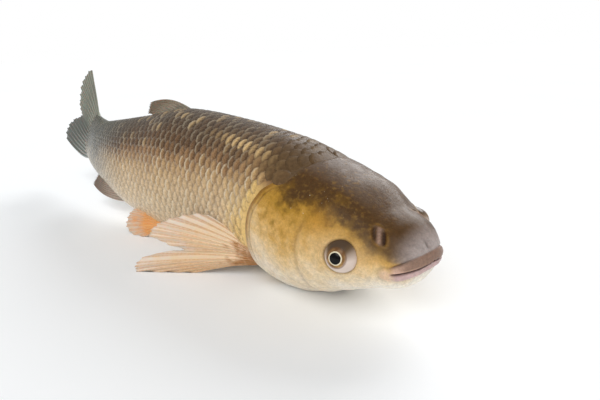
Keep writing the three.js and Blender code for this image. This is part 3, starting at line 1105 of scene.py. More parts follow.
@dataclass
class Nostril:
    """The two pits of each nostril, the flap between them and the rim."""

    form: BodyForm
    at: float = 21.5
    level: float = 0.74
    lean: float = 0.5
    rim: Ridge = Ridge(4.7, 1.2, 0.35)
    # A thin line of painted golden highlight along the rim.
    rim_glow: Ridge = Ridge(5.0, 0.8, 1.0)
    front_pit: Ridge = Ridge(-2.5, 0.8, 0.9)
    rear_pit: Ridge = Ridge(2.7, 0.8, 0.55)
    flap: Ridge = Ridge(0.0, 1.55, 1.0)
    flap_shade: Ridge = Ridge(0.2, 0.3, 0.3)
    bowl_depth: float = 0.5
    pit_depth: float = 1.9
    flap_lift: float = 0.9

    def relief(self, points: Array) -> tuple[Array, Array, Array, Array]:
        """The nostrils' shape and colour zones.

        Args:
            points: points of the bare skin, on the straight fish.

        Returns:
            The lift, the painted shade in the pits and down the flap, how much it is flap, and the
            painted highlight along the rim.
        """
        at, step = np.array(self.at), 0.02
        angle = self.form.angle_at(np.array(self.level))
        across = unit(self.form.bare(at, angle + step) - self.form.bare(at, angle - step))
        away = to_left(points) - self.form.bare(at, angle)
        up = away @ across
        back = away[..., 0] - self.lean * up
        out = np.hypot(back * 1.08, up * 1.02)
        bowl = ease(out, 4.8, 3.4)
        pits = (self.front_pit(back) + self.rear_pit(back)) * ease(np.abs(up), 4.4, 2.2)
        flap = self.flap(back) * ease(np.abs(up), 4.6, 3.0)
        hollow = self.bowl_depth * bowl + self.pit_depth * pits
        lift = self.rim(out) - hollow + self.flap_lift * flap
        # Painted shade in the pits and the bowl, and a thin line of it down the flap.
        shade = self.flap_shade(back) * ease(np.abs(up), 3.4, 2.0)
        dark = pits + 0.25 * bowl * (1 - flap) + shade
        return lift, np.clip(dark, 0, 1), 0.8 * flap, self.rim_glow(out)


@dataclass
class HeadSkin:
    """The skin of the head, back to the free edge of the gill covers."""

    form: BodyForm
    features: HeadFeatures
    mouth: Mouth
    nostril: Nostril
    quarter: int = 66
    nose_rings: int = 44
    nose_length: float = 16.0
    ring_step: float = 0.8
    floor_gap: float = 0.15
    unevenness: float = 0.12
    nape_drop: float = 1.4
    snout_notch: float = 0.7
    lid_ridge: Ridge = Ridge(0.5, 1.0, 0.45)
    lid_groove: Ridge = Ridge(-0.9, 0.6, -0.7)
    lid_shade: Ridge = Ridge(-0.9, 0.7, 0.8)
    plate_ridge: Ridge = Ridge(-6.4, 1.8, 0.3)
    plate_groove: Ridge = Ridge(-3.8, 0.9, -0.55)
    plate_shade: Ridge = Ridge(-3.8, 0.8, 0.4)
    cheek_ridge: Ridge = Ridge(-4.5, 4, 0.75)
    cheek_groove: Ridge = Ridge(1.2, 1.5, -0.95)
    cheek_shade: Ridge = Ridge(1.4, 1.2, 0.22)
    suture_groove: Ridge = Ridge(0.0, 0.9, -0.32)
    suture_shade: Ridge = Ridge(0.0, 0.9, 0.14)
    cheek_gold: Patch = Patch(50, 0.5, 8, 0.16)
    low_gold: Patch = Patch(24, -0.3, 8, 0.16, 0.3)
    edge_gold: Patch = Patch(-5, -0.2, 7, 0.3, 0.5)
    mottled: Patch = Patch(74, 0.36, 17, 0.24)
    pale: Patch = Patch(34, 0.2, 17, 0.25, 0.8)

    def stations(self) -> Array:
        """The distances of the rings before they follow the gill cover.

        Returns:
            The distances, closest together at the nose and at the gill cover's edge.
        """
        nose = self.form.nose_tip + self.nose_length * np.linspace(0.012, 1, self.nose_rings) ** 1.7
        end = self.features.gill_at
        middle = np.arange(nose[-1] + self.ring_step, end - 7, self.ring_step)
        rear = np.linspace(end - 7, end, 16)
        return np.concatenate([nose, middle, rear])

    def angles(self, s: Array) -> Array:
        """The angles of each ring's points, closest together along the mouth.

        Args:
            s: the rings' distances.

        Returns:
            An array of angles, a row for each ring.
        """
        form = self.form
        at = np.minimum(s, self.mouth.corner)
        height = form.half_height(at) * form.nose_share(at)
        level = (self.mouth.line(at) - form.middle(at)) / height
        mouth = form.angle_at(np.clip(level, -0.9, 0.9))
        mouth = mouth * (1 - 0.6 * ease(s, 20, 60))
        q = np.linspace(-1, 1, 2 * self.quarter + 1)
        crowd = np.sign(q) * (0.34 * np.abs(q) + 0.66 * np.abs(q) ** 2.1)
        reach = np.where(q > 0, math.pi / 2 - mouth[:, None], math.pi / 2 + mouth[:, None])
        left = mouth[:, None] + reach * crowd
        right = math.pi - left[:, -2:0:-1]
        return np.concatenate([left, right], 1)

    def eye_relief(self, points: Array) -> tuple[Array, Array]:
        """The fold of skin round each eye.

        Args:
            points: points of the bare skin, on the straight fish.

        Returns:
            The lift and the painted shade in the groove round the eye.
        """
        f = self.features
        sight = f.sight(self.form)
        surface = self.form.bare(np.array(f.eye_at), self.form.angle_at(np.array(f.eye_level)))
        away = to_left(points) - surface
        out = np.linalg.norm(away - (away @ sight)[..., None] * sight, axis=-1)
        swell = f.orbit_lift * bell(np.linalg.norm(away, axis=-1), f.orbit_width)
        past = out - f.eye_radius
        return swell + self.lid_ridge(past) + self.lid_groove(past), self.lid_shade(past)

    def plate_relief(self, s: Array, level: Array) -> tuple[Array, Array]:
        """The gill cover, its plates and the edge of the cheek.

        Args:
            s: distances from the snout.
            level: levels of the section.

        Returns:
            The lift and the painted shade in the creases.
        """
        f = self.features
        behind = s - f.gill_edge(level)
        seen = f.cover_seen(level)
        cover = ease(behind, -30, -2) * f.gill_lift * seen
        plate = seen * (self.plate_ridge(behind) + self.plate_groove(behind))
        cheek_seen = ease(level, 0.62, 0.32)
        cheek = s - f.cheek_edge(level)
        ridge = cheek_seen * (self.cheek_ridge(cheek) + self.cheek_groove(cheek))
        suture_seen = ease(level, -0.85, -0.7) * ease(level, 0.02, -0.12)
        suture = s - f.suture(level)
        lift = cover + plate + ridge + suture_seen * self.suture_groove(suture)
        dark = seen * self.plate_shade(behind) + cheek_seen * self.cheek_shade(cheek)
        return lift, dark + suture_seen * self.suture_shade(suture)

    def snout_crease(self, s: Array, points: Array) -> Array:
        """How much of the short upright crease in the front of the snout there is.

        Args:
            s: distances from the snout.
            points: points of the bare skin, on the straight fish.

        Returns:
            0 to 1 at each point.
        """
        z = points[..., 2]
        ahead = ease(s, 8, 4) * ease(z, 3.5, 5) * ease(z, 11, 8.5)
        return ahead * bell(points[..., 1] + 1.6, 0.8)

    def marks(self, s: Array, level: Array, across: Array) -> dict[str, Array]:
        """The values that the head's finish reads, apart from lips and creases.

        Args:
            s: distances from the snout.
            level: levels of the section.
            across: distances to the left of the middle, where the dark cap comes lower.

        Returns:
            The marks by name.
        """
        f = self.features
        behind = s - f.gill_edge(level)
        cap_edge = f.cap_edge(s) - 0.3 * ease(across, 2, 12) * bell(s - 44, 20)
        golds = self.cheek_gold(s, level) + self.low_gold(s, level) + self.edge_gold(behind, level)
        rim = ease(level, -0.8, 0.1) * ease(level, 0.85, 0.6)
        return {
            "height": (level - cap_edge) * (1 + 0.9 * ease(s, 32, 8)),
            "gold": np.clip(golds, 0, 1),
            "mottle": self.mottled(s, level),
            "membrane": 0.7 * ease(behind, -3.4, -1.2) * rim,
            "pale": self.pale(s, level),
            # Crest grey, partly painted sheen along the top of the head.
            "crown": 0.6 * ease(level, 0.9, 1.0) * ease(s, 24, 46),
            "snout": 0.8 * ease(s, 15, 3) * ease(level, -0.1, 0.25),
            "flecks": bell(level - 0.72, 0.2) * ease(s, 30, 45),
        }

    def build(self, material: bpy.types.Material) -> bpy.types.Object:
        """Builds the head as one closed shell.

        Args:
            material: the finish.

        Returns:
            The finished piece.
        """
        form, f = self.form, self.features
        stations = self.stations()
        angles = self.angles(stations)
        level = form.level(angles)
        s = f.follow_gill(stations[:, None], level)
        points = form.bare(s, angles)
        mouth, lip, pink, mouth_dark = self.mouth.relief(s, points[..., 2])
        nostril, nostril_dark, flap, rim = self.nostril.relief(points)
        eye, eye_dark = self.eye_relief(points)
        plates, plate_dark = self.plate_relief(s, level)
        uneven = Waves(3, 9.0)(points) * self.unevenness
        nape = -self.nape_drop * ease(s - f.gill_edge(level), -9, -1) * (1 - f.cover_seen(level))
        lift = mouth + nostril + eye + plates + nape + uneven * ease(s, 4, 14)
        skin = points + form.normal(s, angles) * lift[..., None]
        snout = self.snout_crease(s, points)
        skin[..., 0] += self.snout_notch * snout
        marks = self.marks(s, level, points[..., 1])
        marks["lip"] = np.maximum(lip, flap)
        marks["lip_pink"] = np.where(flap > lip, 0.2, pink)
        # The nostrils' rims add a painted golden highlight to the gold.
        marks["gold"] = np.clip(marks["gold"] + 0.25 * rim, 0, 1)
        # Painted shade in the slit, the creases, the nostril pits and the grooves.
        crease_shades = mouth_dark + nostril_dark + eye_dark + plate_dark + 0.6 * snout
        marks["crease"] = np.clip(crease_shades, 0, 1)
        rings, marks = self.roll_edge(skin, marks, s[-1], angles[-1])
        first = rings[0].mean(0)
        first[0] = form.nose_tip
        last = np.array([f.gill_at - 30, 0.0, 0.0])
        placed = form.place(rings)
        placed[..., 2] = np.maximum(placed[..., 2], self.floor_gap)
        piece = close_shell("head_skin", form.place(first), placed, form.place(last), material, marks)
        return enlist(piece, "fish_body")

    def roll_edge(
        self, skin: Array, marks: dict[str, Array], s: Array, angle: Array
    ) -> tuple[Array, dict[str, Array]]:
        """Turns the free edge of the gill covers inwards, and on under the skin.

        Args:
            skin: the rings so far, on the straight fish.
            marks: their marks.
            s: the distance of each point of the last ring.
            angle: the angle of each point of the last ring.

        Returns:
            The rings and marks with the rolled edge added.
        """
        form = self.form
        last = skin[-1]
        outwards = form.normal(s, angle)
        thick = 0.4 + 1.4 * ease(form.level(angle), 0.78, 0.5)
        added = []
        for turn in np.linspace(0.35, math.pi, 7):
            ring = last - outwards * ((1 - np.cos(turn)) * thick * 0.5)[:, None]
            ring[:, 0] += np.sin(turn) * thick * 0.5
            added.append(ring)
        for depth in (5.0, 12.0):
            inner = form.bare(s - depth, angle) - form.normal(s - depth, angle) * (2.2 + depth * 0.3)
            added.append(inner)
        longer = {
            key: np.concatenate([v, np.repeat(v[-1:], len(added), 0)]) for key, v in marks.items()
        }
        return np.concatenate([skin, np.stack(added)]), longer


# The trunk and its scales.


@dataclass
class TrunkMarks:
    """The trunk's colour zones, as marks on its skin and scales."""

    gill_edge: SmoothCurve
    glint_level: float = 0.85
    glint_fall: float = 0.0004
    chest_level: float = -0.22
    dark_points: Points = (
        (90, 0.7), (119, 0.66), (153, 0.56), (189, 0.44), (230, 0.34), (285, 0.22), (330, 0.0),
        (400, -0.3),
    )

    def __post_init__(self) -> None:
        """Makes the curve where the dark back ends."""
        self.dark_edge = SmoothCurve(self.dark_points)

    def of(self, s: Array, level: Array, tint: Array) -> dict[str, Array]:
        """The marks at places of the trunk.

        Args:
            s: distances from the snout.
            level: levels of the section.
            tint: a random value from 0 to 1 for each place.

        Returns:
            The marks by name.
        """
        height = level - self.dark_edge(s)
        dark = ease(height, -0.35, 0.2)
        # Glints and sparks are painted highlights on the scales.
        glint_line = self.glint_level - (s - 100) * self.glint_fall
        glint_band = bell(level - glint_line, 0.06) * ease(s, 176, 135)
        low_glint = 0.8 * bell(level - 0.7, 0.12) * ease(s, 116, 98)
        spark = 0.55 * ease(tint, 0.8, 1.0) * dark * ease(s, 300, 220)
        glint = (glint_band + low_glint) * (0.45 + 0.8 * tint) + spark
        chest = 0.9 * ease(s, 134, 110) * bell(level - self.chest_level, 0.42)
        past = s - self.gill_edge(level)
        band = 0.8 * ease(past, 14, 5) * ease(level, 0.7, 0.45)
        nape = ease(past, 34, 6) * ease(level, 0.6, 0.8)
        return {
            "height": height,
            "tint": tint,
            "grey": ease(s, 250, 345),
            "chest": np.maximum(chest, band),
            # How dark the scales' bases and rear edges are: partly pigment, partly painted shade.
            "pigment": (0.5 + 0.4 * dark - 0.35 * ease(level, -0.4, -0.9)) * (1 - 0.9 * nape),
            "nape": nape,
            # How strong the painted highlight along each scale's rear edge is.
            "rim": (0.75 * ease(tint, 0.25, 0.95) + 0.1) * (1 - 0.65 * dark) * (1 - nape),
            "glint": np.clip(glint * (1 - 0.9 * nape), 0, 1),
        }


@dataclass
class TrunkSkin:
    """The skin under the scales, from inside the gill covers to the root of the tail fin."""

    form: BodyForm
    features: HeadFeatures
    zones: TrunkMarks
    around: int = 144
    start_inside: float = 20.0
    ring_step: float = 2.4
    tail_narrowing: float = 0.35
    groove_bed: float = 0.25
    scale_bed: float = 0.7
    side_tuck: float = 1.6
    nape_bed: float = -0.45
    nape_rise: float = 0.3
    nape_tuck: float = 2.2
    floor_gap: float = 0.1

    def build(self, material: bpy.types.Material) -> bpy.types.Object:
        """Builds the trunk as one closed shell.

        Args:
            material: the finish.

        Returns:
            The finished piece.
        """
        form, f = self.form, self.features
        front = np.linspace(f.gill_at - self.start_inside, f.gill_at + 10, 34)
        rear = np.arange(front[-1] + self.ring_step, form.length - 1, self.ring_step)
        stations = np.concatenate([front, rear, [form.length, form.length + 2]])
        angles = np.arange(self.around) / self.around * 2 * math.pi - math.pi / 2
        level = np.broadcast_to(form.level(angles), (len(stations), self.around))
        s = f.follow_gill(stations[:, None], level)
        lift = self.lift(stations[:, None] - f.gill_at, level)
        outwards = form.normal(s, np.broadcast_to(angles, s.shape))
        skin = form.bare(s, angles[None, :]) + outwards * lift[..., None]
        tail = ease(stations, form.length - 30, form.length + 1)[:, None]
        skin[..., 1] *= 1 - self.tail_narrowing * tail
        marks = self.zones.of(s, level, np.full(s.shape, 0.5))
        first = np.array([f.gill_at - self.start_inside - 6, 0.0, 0.0])
        last = np.array([form.length + 3.5, 0.0, form.middle(np.array(form.length))])
        placed = form.place(skin)
        placed[..., 2] = np.maximum(placed[..., 2], self.floor_gap)
        piece = close_shell("trunk_skin", form.place(first), placed, form.place(last), material, marks)
        return enlist(piece, "fish_body")

    def lift(self, past: Array, level: Array) -> Array:
        """How high the skin lies, so that it dips behind the gill covers and stays under scales.

        Args:
            past: distances behind the gill covers' edge.
            level: levels of the section.

        Returns:
            The height over the bare skin, in millimetres.
        """
        seen = self.features.cover_seen(level)
        side = self.groove_bed - self.scale_bed * ease(past, 7, 14) - self.side_tuck * ease(past, 1, -8)
        side = side + self.features.groove(past, level)
        rise = self.nape_rise * ease(past, 3, 10) * ease(past, 40, 15)
        back = self.nape_bed + rise - self.nape_tuck * ease(past, -4, -13)
        return side * seen + back * (1 - seen)


@dataclass
class ScaleCoat:
    """The scales. They are laid out on a flat chart, s by share of the girth, and wrapped on."""

    form: BodyForm
    features: HeadFeatures
    zones: TrunkMarks
    rows: int = 20
    front: float = 72.0
    pitch_front: float = 7.0
    pitch_rear: float = 5.7
    overlap: float = 1.95
    rise: float = 0.95
    thickness: float = 0.3
    widening: float = 2.15
    unevenness: float = 0.06
    spokes: int = 12
    rings: tuple[float, ...] = (0.66, 1.0)
    taper: float = 0.1
    squareness: float = 0.06
    dome: float = 0.25
    nape_press: float = 0.5
    nape_flattening: float = 0.35
    first_at_nape: float = -8.0
    first_at_side: float = 3.5
    nape_raggedness: float = 7.0
    floor_gap: float = 0.1
    seed: int = 11

    def pitch(self, s: Array) -> Array:
        """The distance between two columns of scales."""
        share = (s - self.front) / (self.form.length - self.front)
        return self.pitch_front + (self.pitch_rear - self.pitch_front) * share

    def seats(self) -> Array:
        """Where the scales sit on the chart of one side.

        Returns:
            An array of (s, share of the half girth).
        """
        columns = [self.front]
        while columns[-1] < self.form.length + 4:
            columns.append(columns[-1] + self.pitch(columns[-1]))
        places = []
        for number, s in enumerate(columns[:-1]):
            half_step = (columns[number + 1] - s) / 2
            for row in range(self.rows):
                at = s + (half_step if row % 2 else 0.0)
                places.append((at, (row + 0.5) / self.rows))
        return np.array(places)

    def template(self) -> bpy.types.Object:
        """One scale, a thin closed plate 1 long and 1 wide, with its rear edge raised.

        Returns:
            The scale, an object that stands in no scene yet.
        """
        spokes, rings = self.spokes, self.rings
        turn = np.arange(spokes) / spokes * 2 * math.pi
        out = np.array([(r * np.cos(turn), r * np.sin(turn)) for r in rings])
        x = out[:, 0] * 0.5
        y = out[:, 1] * 0.5 * (1 - self.taper * np.cos(turn))
        x = x + self.squareness * np.cos(2 * turn) * np.array(rings)[:, None] ** 2 - 0.03
        top = np.stack([x, y, np.zeros_like(x)], -1).reshape(-1, 3)
        rim = top[-spokes:].copy()
        points = np.vstack([[[0.0, 0.0, 0.0]], top, rim, [[0.0, 0.0, 0.0]]])
        reach = np.clip(points[:, 0] + 0.5, 0, 1)
        points[:, 2] = self.rise * (reach - 0.62) + self.dome * (1 - (2 * points[:, 1]) ** 2)
        low = np.arange(1 + len(rings) * spokes, len(points))
        points[low, 2] -= self.thickness + 0.12
        faces: Faces = []
        for j in range(spokes):
            k = (j + 1) % spokes
            faces.append((0, 1 + j, 1 + k))
            for ring in range(len(rings)):
                a = 1 + ring * spokes
                faces.append((a + j, a + spokes + j, a + spokes + k, a + k))
            a = 1 + len(rings) * spokes
            faces.append((a + j, len(points) - 1, a + k))
        mesh = bpy.data.meshes.new("scale")
        mesh.from_pydata(points.tolist(), [], faces)
        edge = np.concatenate([[0.0], np.repeat((*rings, 1.0), spokes), [0.0]])
        add_marks(mesh, {"reach": reach, "edge": edge})
        return bpy.data.objects.new("scale", mesh)

    def tree(self) -> bpy.types.NodeTree:
        """The node tree that sets a scale on every seat.

        Returns:
            The tree, whose inputs are the scale, its unevenness, a seed and the finish.
        """
        tree = bpy.data.node_groups.new("lay_scales", "GeometryNodeTree")
        face = tree.interface
        sockets = (
            ("Seats", "INPUT", "NodeSocketGeometry"),
            ("Scale", "INPUT", "NodeSocketObject"),
            ("Unevenness", "INPUT", "NodeSocketFloat"),
            ("Seed", "INPUT", "NodeSocketInt"),
            ("Finish", "INPUT", "NodeSocketMaterial"),
            ("Scales", "OUTPUT", "NodeSocketGeometry"),
        )
        for name, way, kind in sockets:
            face.new_socket(name=name, in_out=way, socket_type=kind)
        g = Graph(tree)
        given = g.add("NodeGroupInput").outputs
        size = g.add("GeometryNodeInputNamedAttribute", {"data_type": "FLOAT_VECTOR"}, Name="size")
        low = g.calc("SUBTRACT", 1.0, given["Unevenness"])
        high = g.plus(1.0, given["Unevenness"])
        vary = g.add(
            "FunctionNodeRandomValue", {"data_type": "FLOAT"}, i2=low, i3=high, Seed=given["Seed"]
        )
        scaled = g.add(
            "ShaderNodeVectorMath", {"operation": "SCALE"},
            i0=size.outputs[0], Scale=vary.outputs[1],
        )
        shape = g.add("GeometryNodeObjectInfo", Object=given["Scale"])
        laid = g.add(
            "GeometryNodeInstanceOnPoints", Points=given["Seats"],
            Instance=shape.outputs["Geometry"], Scale=scaled.outputs[0],
        )
        real = g.add("GeometryNodeRealizeInstances", Geometry=laid.outputs[0])
        done = g.add("GeometryNodeSetMaterial", Geometry=real.outputs[0], Material=given["Finish"])
        g.add("NodeGroupOutput", Scales=done.outputs[0])
        return tree

    def chart(self, material: bpy.types.Material) -> tuple[bpy.types.Mesh, Array]:
        """Lays the scales of one side on the flat chart.

        Args:
            material: the finish.

        Returns:
            The laid mesh, and the chart coordinates of its vertices.
        """
        seats = self.seats()
        long = self.pitch(seats[:, 0]) * self.overlap
        wide = np.full(len(seats), self.widening / self.rows)
        mesh = bpy.data.meshes.new("seats")
        mesh.from_pydata(np.column_stack([seats, np.zeros(len(seats))]).tolist(), [], [])
        sizes = np.column_stack([long, wide, np.ones(len(seats))])
        layer = mesh.attributes.new("size", "FLOAT_VECTOR", "POINT")
        layer.data.foreach_set("vector", sizes.astype(np.float32).ravel())
        draw = np.random.default_rng(self.seed)
        tint = draw.uniform(0, 1, len(seats))
        add_marks(mesh, {"seat_s": seats[:, 0], "seat_share": seats[:, 1], "tint": tint})
        holder = bpy.data.objects.new("seats", mesh)
        scale = self.template()
        for thing in (holder, scale):
            link(thing)
        modifier = holder.modifiers.new("lay", "NODES")
        modifier.node_group = self.tree()
        values = {
            "Scale": scale,
            "Unevenness": self.unevenness,
            "Seed": self.seed,
            "Finish": material,
        }
        for item in modifier.node_group.interface.items_tree:
            if item.name in values and item.in_out == "INPUT":
                modifier[item.identifier] = values[item.name]
        seen = bpy.context.evaluated_depsgraph_get()
        laid = bpy.data.meshes.new_from_object(holder.evaluated_get(seen), depsgraph=seen)
        for thing in (holder, scale):
            bpy.data.objects.remove(thing)
        chart = np.zeros(len(laid.vertices) * 3, np.float32)
        laid.vertices.foreach_get("co", chart)
        return laid, chart.reshape(-1, 3).astype(float)

    def wrap(self, chart: Array, side: Side) -> Array:
        """Carries the chart onto one side of the trunk.

        Args:
            chart: points (s, share of the half girth, height above the skin).
            side: which side.

        Returns:
            The points in the scene, in millimetres.
        """
        form = self.form
        places, angles, shares = form.girth_table()
        s = chart[:, 0]
        row = np.clip(np.interp(s, places, np.arange(len(places))), 0, len(places) - 1.001)
        low = row.astype(int)
        part = row - low
        share = np.abs(chart[:, 1])
        over = share > 1
        share = np.where(over, 2 - share, share)
        angle = np.empty(len(s))
        for number in np.unique(low):
            here = low == number
            before = np.interp(share[here], shares[number], angles)
            after = np.interp(share[here], shares[number + 1], angles)
            angle[here] = before * (1 - part[here]) + after * part[here]
        angle = np.where(over, math.pi - angle, angle)
        angle = np.where(chart[:, 1] < 0, -math.pi - angle, angle)
        if side is Side.RIGHT:
            angle = math.pi - angle
        skin = form.bare(s, angle)
        level = form.level(angle)
        past = s - self.features.gill_edge(level)
        hidden = 1 - self.features.cover_seen(level)
        nape = -self.nape_press * ease(past, 2, -7) * hidden
        flat = 1 - self.nape_flattening * ease(past, 24, 2) * hidden
        lift = chart[:, 2] * flat + self.features.groove(past, level) + nape
        placed = form.place(skin + form.normal(s, angle) * lift[:, None])
        placed[:, 2] = np.maximum(placed[:, 2], self.floor_gap)
        return placed

    def seat_levels(self, s: Array, share: Array) -> Array:
        """The levels of the section at seats of the chart.

        Args:
            s: distances of the seats.
            share: their shares of the half girth.

        Returns:
            The levels.
        """
        places, angles, shares = self.form.girth_table()
        row = np.clip(np.interp(s, places, np.arange(len(places))), 0, len(places) - 1)
        nearest = np.round(row).astype(int)
        level = np.empty(len(s))
        for number in np.unique(nearest):
            here = nearest == number
            level[here] = self.form.level(np.interp(share[here], shares[number], angles))
        return level

    def build(self, material: bpy.types.Material) -> bpy.types.Object:
        """Builds the scales of both sides as one piece.

        Args:
            material: the finish.

        Returns:
            The finished piece.
        """
        laid, chart = self.chart(material)
        read: dict[str, Array] = {}
        for key in ("seat_s", "seat_share", "tint", "reach", "edge"):
            values = np.zeros(len(laid.vertices), np.float32)
            laid.attributes[key].data.foreach_get("value", values)
            read[key] = values.astype(float)
        level = self.seat_levels(read["seat_s"], read["seat_share"])
        faces = np.array([list(p.vertices) + [-1] * (4 - len(p.vertices)) for p in laid.polygons])
        points, marks, all_faces = [], [], []
        start = 0
        for side in Side:
            wrapped = self.wrap(chart, side)
            tint = (read["tint"] * 7.3 + (0.37 if side is Side.LEFT else 0.0)) % 1.0
            keep = self.kept(read["seat_s"], level, tint)
            mark = self.zones.of(read["seat_s"], level, tint)
            mark["reach"], mark["edge"] = read["reach"], read["edge"]
            number = np.cumsum(keep) - 1 + start
            held = faces[keep[faces[:, 0]]]
            for face in held.tolist():
                corners = [int(number[v]) for v in face if v >= 0]
                all_faces.append(corners if side is Side.LEFT else corners[::-1])
            points.append(wrapped[keep])
            marks.append({key: v[keep] for key, v in mark.items()})
            start += int(keep.sum())
        joined = {key: np.concatenate([m[key] for m in marks]) for key in marks[0]}
        bpy.data.meshes.remove(laid)
        piece = new_piece("scales", np.vstack(points), all_faces, material, joined)
        return enlist(piece, "fish_body")

    def kept(self, s: Array, level: Array, tint: Array) -> Array:
        """Which seats carry a scale: none under or close behind the gill covers.

        Args:
            s: distances of the seats.
            level: their levels.
            tint: their random values, which make the edge of the nape ragged.

        Returns:
            True where there is a scale.
        """
        side = ease(level, 0.84, 0.6)
        behind = self.first_at_nape + (self.first_at_side - self.first_at_nape) * side
        start = self.features.gill_edge(level) + behind + self.nape_raggedness * tint * (1 - side)
        return (s > start) & (s < self.form.length + 1)


# Fins.


@dataclass
class Fin:
    """A fin that fans out. Subclasses say where its middle surface runs."""

    form: BodyForm
    name: str
    finish: FinFinish
    rays: int
    samples: int = 8
    steps: int = 44
    root_thickness: float = 2.4
    ray_thickness: float = 1.5
    web_thickness: float = 0.4
    ripple: float = 0.6
    ragged: float = 0.02
    scallop: float = 0.018
    fork: float = 0.2
    ray_width: float = 0.17
    tip_width: float = 0.1
    ray_taper: float = 0.72
    upper_gap: float = 0.25
    lower_gap: float = 0.15
    seed: int = 5

    def fan(self, across: Array, along: Array) -> Array:
        """The middle surface of the fin.

        Args:
            across: places from one edge of the fin to the other, 0 to 1.
            along: places from the root to the margin, 0 to 1.

        Returns:
            The points in the scene, in millimetres.
        """
        raise NotImplementedError

    def ray_shape(self, across: Array, along: Array) -> Array:
        """How much of a ray there is at each place, each ray forking on its way out.

        Args:
            across: places from one edge of the fin to the other, 0 to 1.
            along: places from the root to the margin, 0 to 1.

        Returns:
            0 between the rays to 1 on the middle of a ray.
        """
        phase = across * self.rays
        off = phase - np.floor(phase) - 0.5
        fork = self.fork * ease(along, 0.35, 1.0)
        width = self.ray_width + (self.tip_width - self.ray_width) * along
        return np.maximum(bell(off - fork, width), bell(off + fork, width))

    def build(self) -> bpy.types.Object:
        """Builds the fin as a thin closed solid with rays.

        Returns:
            The finished piece.
        """
        columns = self.rays * self.samples
        across, along = np.meshgrid(
            np.linspace(0, 1, columns + 1), np.linspace(0, 1, self.steps + 1), indexing="ij"
        )
        draw = np.random.default_rng(self.seed)
        knots = self.rays * 2 + 1
        tears = np.interp(across[:, 0], np.linspace(0, 1, knots), draw.uniform(0, 1, knots))
        ray = self.ray_shape(across, along)
        margin = self.ray_shape(across[:, -1:], np.ones_like(along[:, -1:]))
        scallop = self.scallop * (1 - margin)
        reach = along * (1 - scallop - self.ragged * tears[:, None])
        middle = self.fan(across, reach)
        step = 0.004
        after, before = np.minimum(across + step, 1), np.maximum(across - step, 0)
        wide = self.fan(after, reach) - self.fan(before, reach)
        deep = self.fan(across, reach + step) - self.fan(across, reach - step)
        normal = unit(np.cross(wide, deep))
        wave = self.ripple * np.sin(across * self.rays * 2 * math.pi) * ease(along, 0.1, 0.7)
        middle = middle + normal * wave[..., None]
        thicker = self.root_thickness - self.web_thickness
        thick = self.web_thickness + thicker * ease(along, 0.3, 0.0)
        bone = self.ray_thickness * (1 - self.ray_taper * along)
        edge = 0.55 + 0.45 * ease(np.minimum(across, 1 - across) * self.rays, 0.0, 0.4)
        half = (thick * edge + ray * bone)[..., None] / 2
        upper, lower = middle + normal * half, middle - normal * half
        upper[..., 2] = np.maximum(upper[..., 2], self.upper_gap)
        lower[..., 2] = np.maximum(lower[..., 2], self.lower_gap)
        points = np.concatenate([upper.reshape(-1, 3), lower.reshape(-1, 3)])
        marks = {
            "ray": np.concatenate([ray.ravel()] * 2),
            "along": np.concatenate([along.ravel()] * 2),
            "across": np.concatenate([across.ravel()] * 2),
        }
        faces = self.faces(columns, self.steps)
        piece = new_piece(self.name, points, faces, self.finish.make(), marks)
        return enlist(piece, "fish_body")

    @staticmethod
    def faces(columns: int, steps: int) -> Faces:
        """The faces of a closed sheet whose two sides share a rim.

        Args:
            columns: how many columns of faces.
            steps: how many faces in a column.

        Returns:
            The faces.
        """
        row = steps + 1
        count = (columns + 1) * row
        faces: Faces = []
        for i in range(columns):
            for j in range(steps):
                a = i * row + j
                faces.append((a, a + row, a + row + 1, a + 1))
                faces.append((count + a, count + a + 1, count + a + row + 1, count + a + row))
            tip, root = i * row + steps, i * row
            faces.append((tip, tip + row, count + tip + row, count + tip))
            faces.append((root + row, root, count + root, count + root + row))
        for j in range(steps):
            end = columns * row + j
            faces.append((j, j + 1, count + j + 1, count + j))
            faces.append((end + 1, end, count + end, count + end + 1))
        return faces


@dataclass
class FoldedFin(Fin):
    """The dorsal or the anal fin, folded back along the body."""

    start: float = 0.0
    end: float = 0.0
    tip: float = 0.0
    height: float = 0.0
    way: int = 1
    lean: float = 0.0
    slope: float = 0.78
    rooted: float = 3.0

    def fan(self, across: Array, along: Array) -> Array:
        """The middle surface, raised from the back or the belly and laid tailwards.

        Args:
            across: places from one edge of the fin to the other, 0 to 1.
            along: places from the root to the margin, 0 to 1.

        Returns:
            The points in the scene, in millimetres.
        """
        edge = self.form.top if self.way > 0 else self.form.bottom
        root = self.start + (self.end - self.start) * across
        s = root + (self.tip - root) * along
        tall = self.height * (1 - self.slope * across)
        rise = tall * np.sin(math.pi / 2 * np.clip(along, -1, 1))
        base = edge(root) * (1 - along) + edge(s) * along
        z = base + self.way * (rise - self.rooted * (1 - along))
        return self.form.place(np.stack([s, self.lean * rise, z], -1))


@dataclass
class TailFin(Fin):
    """The forked tail fin, its upper lobe cupped."""

    root: float = 388.0
    spread: float = 18.6
    cup: float = -29.0
    belly: float = 3.0
    half_root: float = 20.0
    middle: float = -1.5
    lengths: Points = (
        (-1, 82), (-0.85, 89), (-0.6, 86), (-0.35, 76), (0, 61), (0.35, 64), (0.6, 73), (0.85, 81),
        (1, 84),
    )

    def fan(self, across: Array, along: Array) -> Array:
        """The middle surface, spread out behind the tail root.

        Args:
            across: places from one edge of the fin to the other, 0 to 1.
            along: places from the root to the margin, 0 to 1.

        Returns:
            The points in the scene, in millimetres.
        """
        level = across * 2 - 1
        angle = np.radians(self.spread * level)
        length = SmoothCurve(self.lengths)(level) * along
        belly = np.minimum(level, 0) * self.belly * np.sin(math.pi * along)
        rise = self.middle + level * self.half_root + np.sin(angle) * length + belly
        cup = np.where(level > 0, self.cup * level * (1 - level) * along**2, 0.0)
        return self.form.place(np.stack([self.root + np.cos(angle) * length, cup, rise], -1))


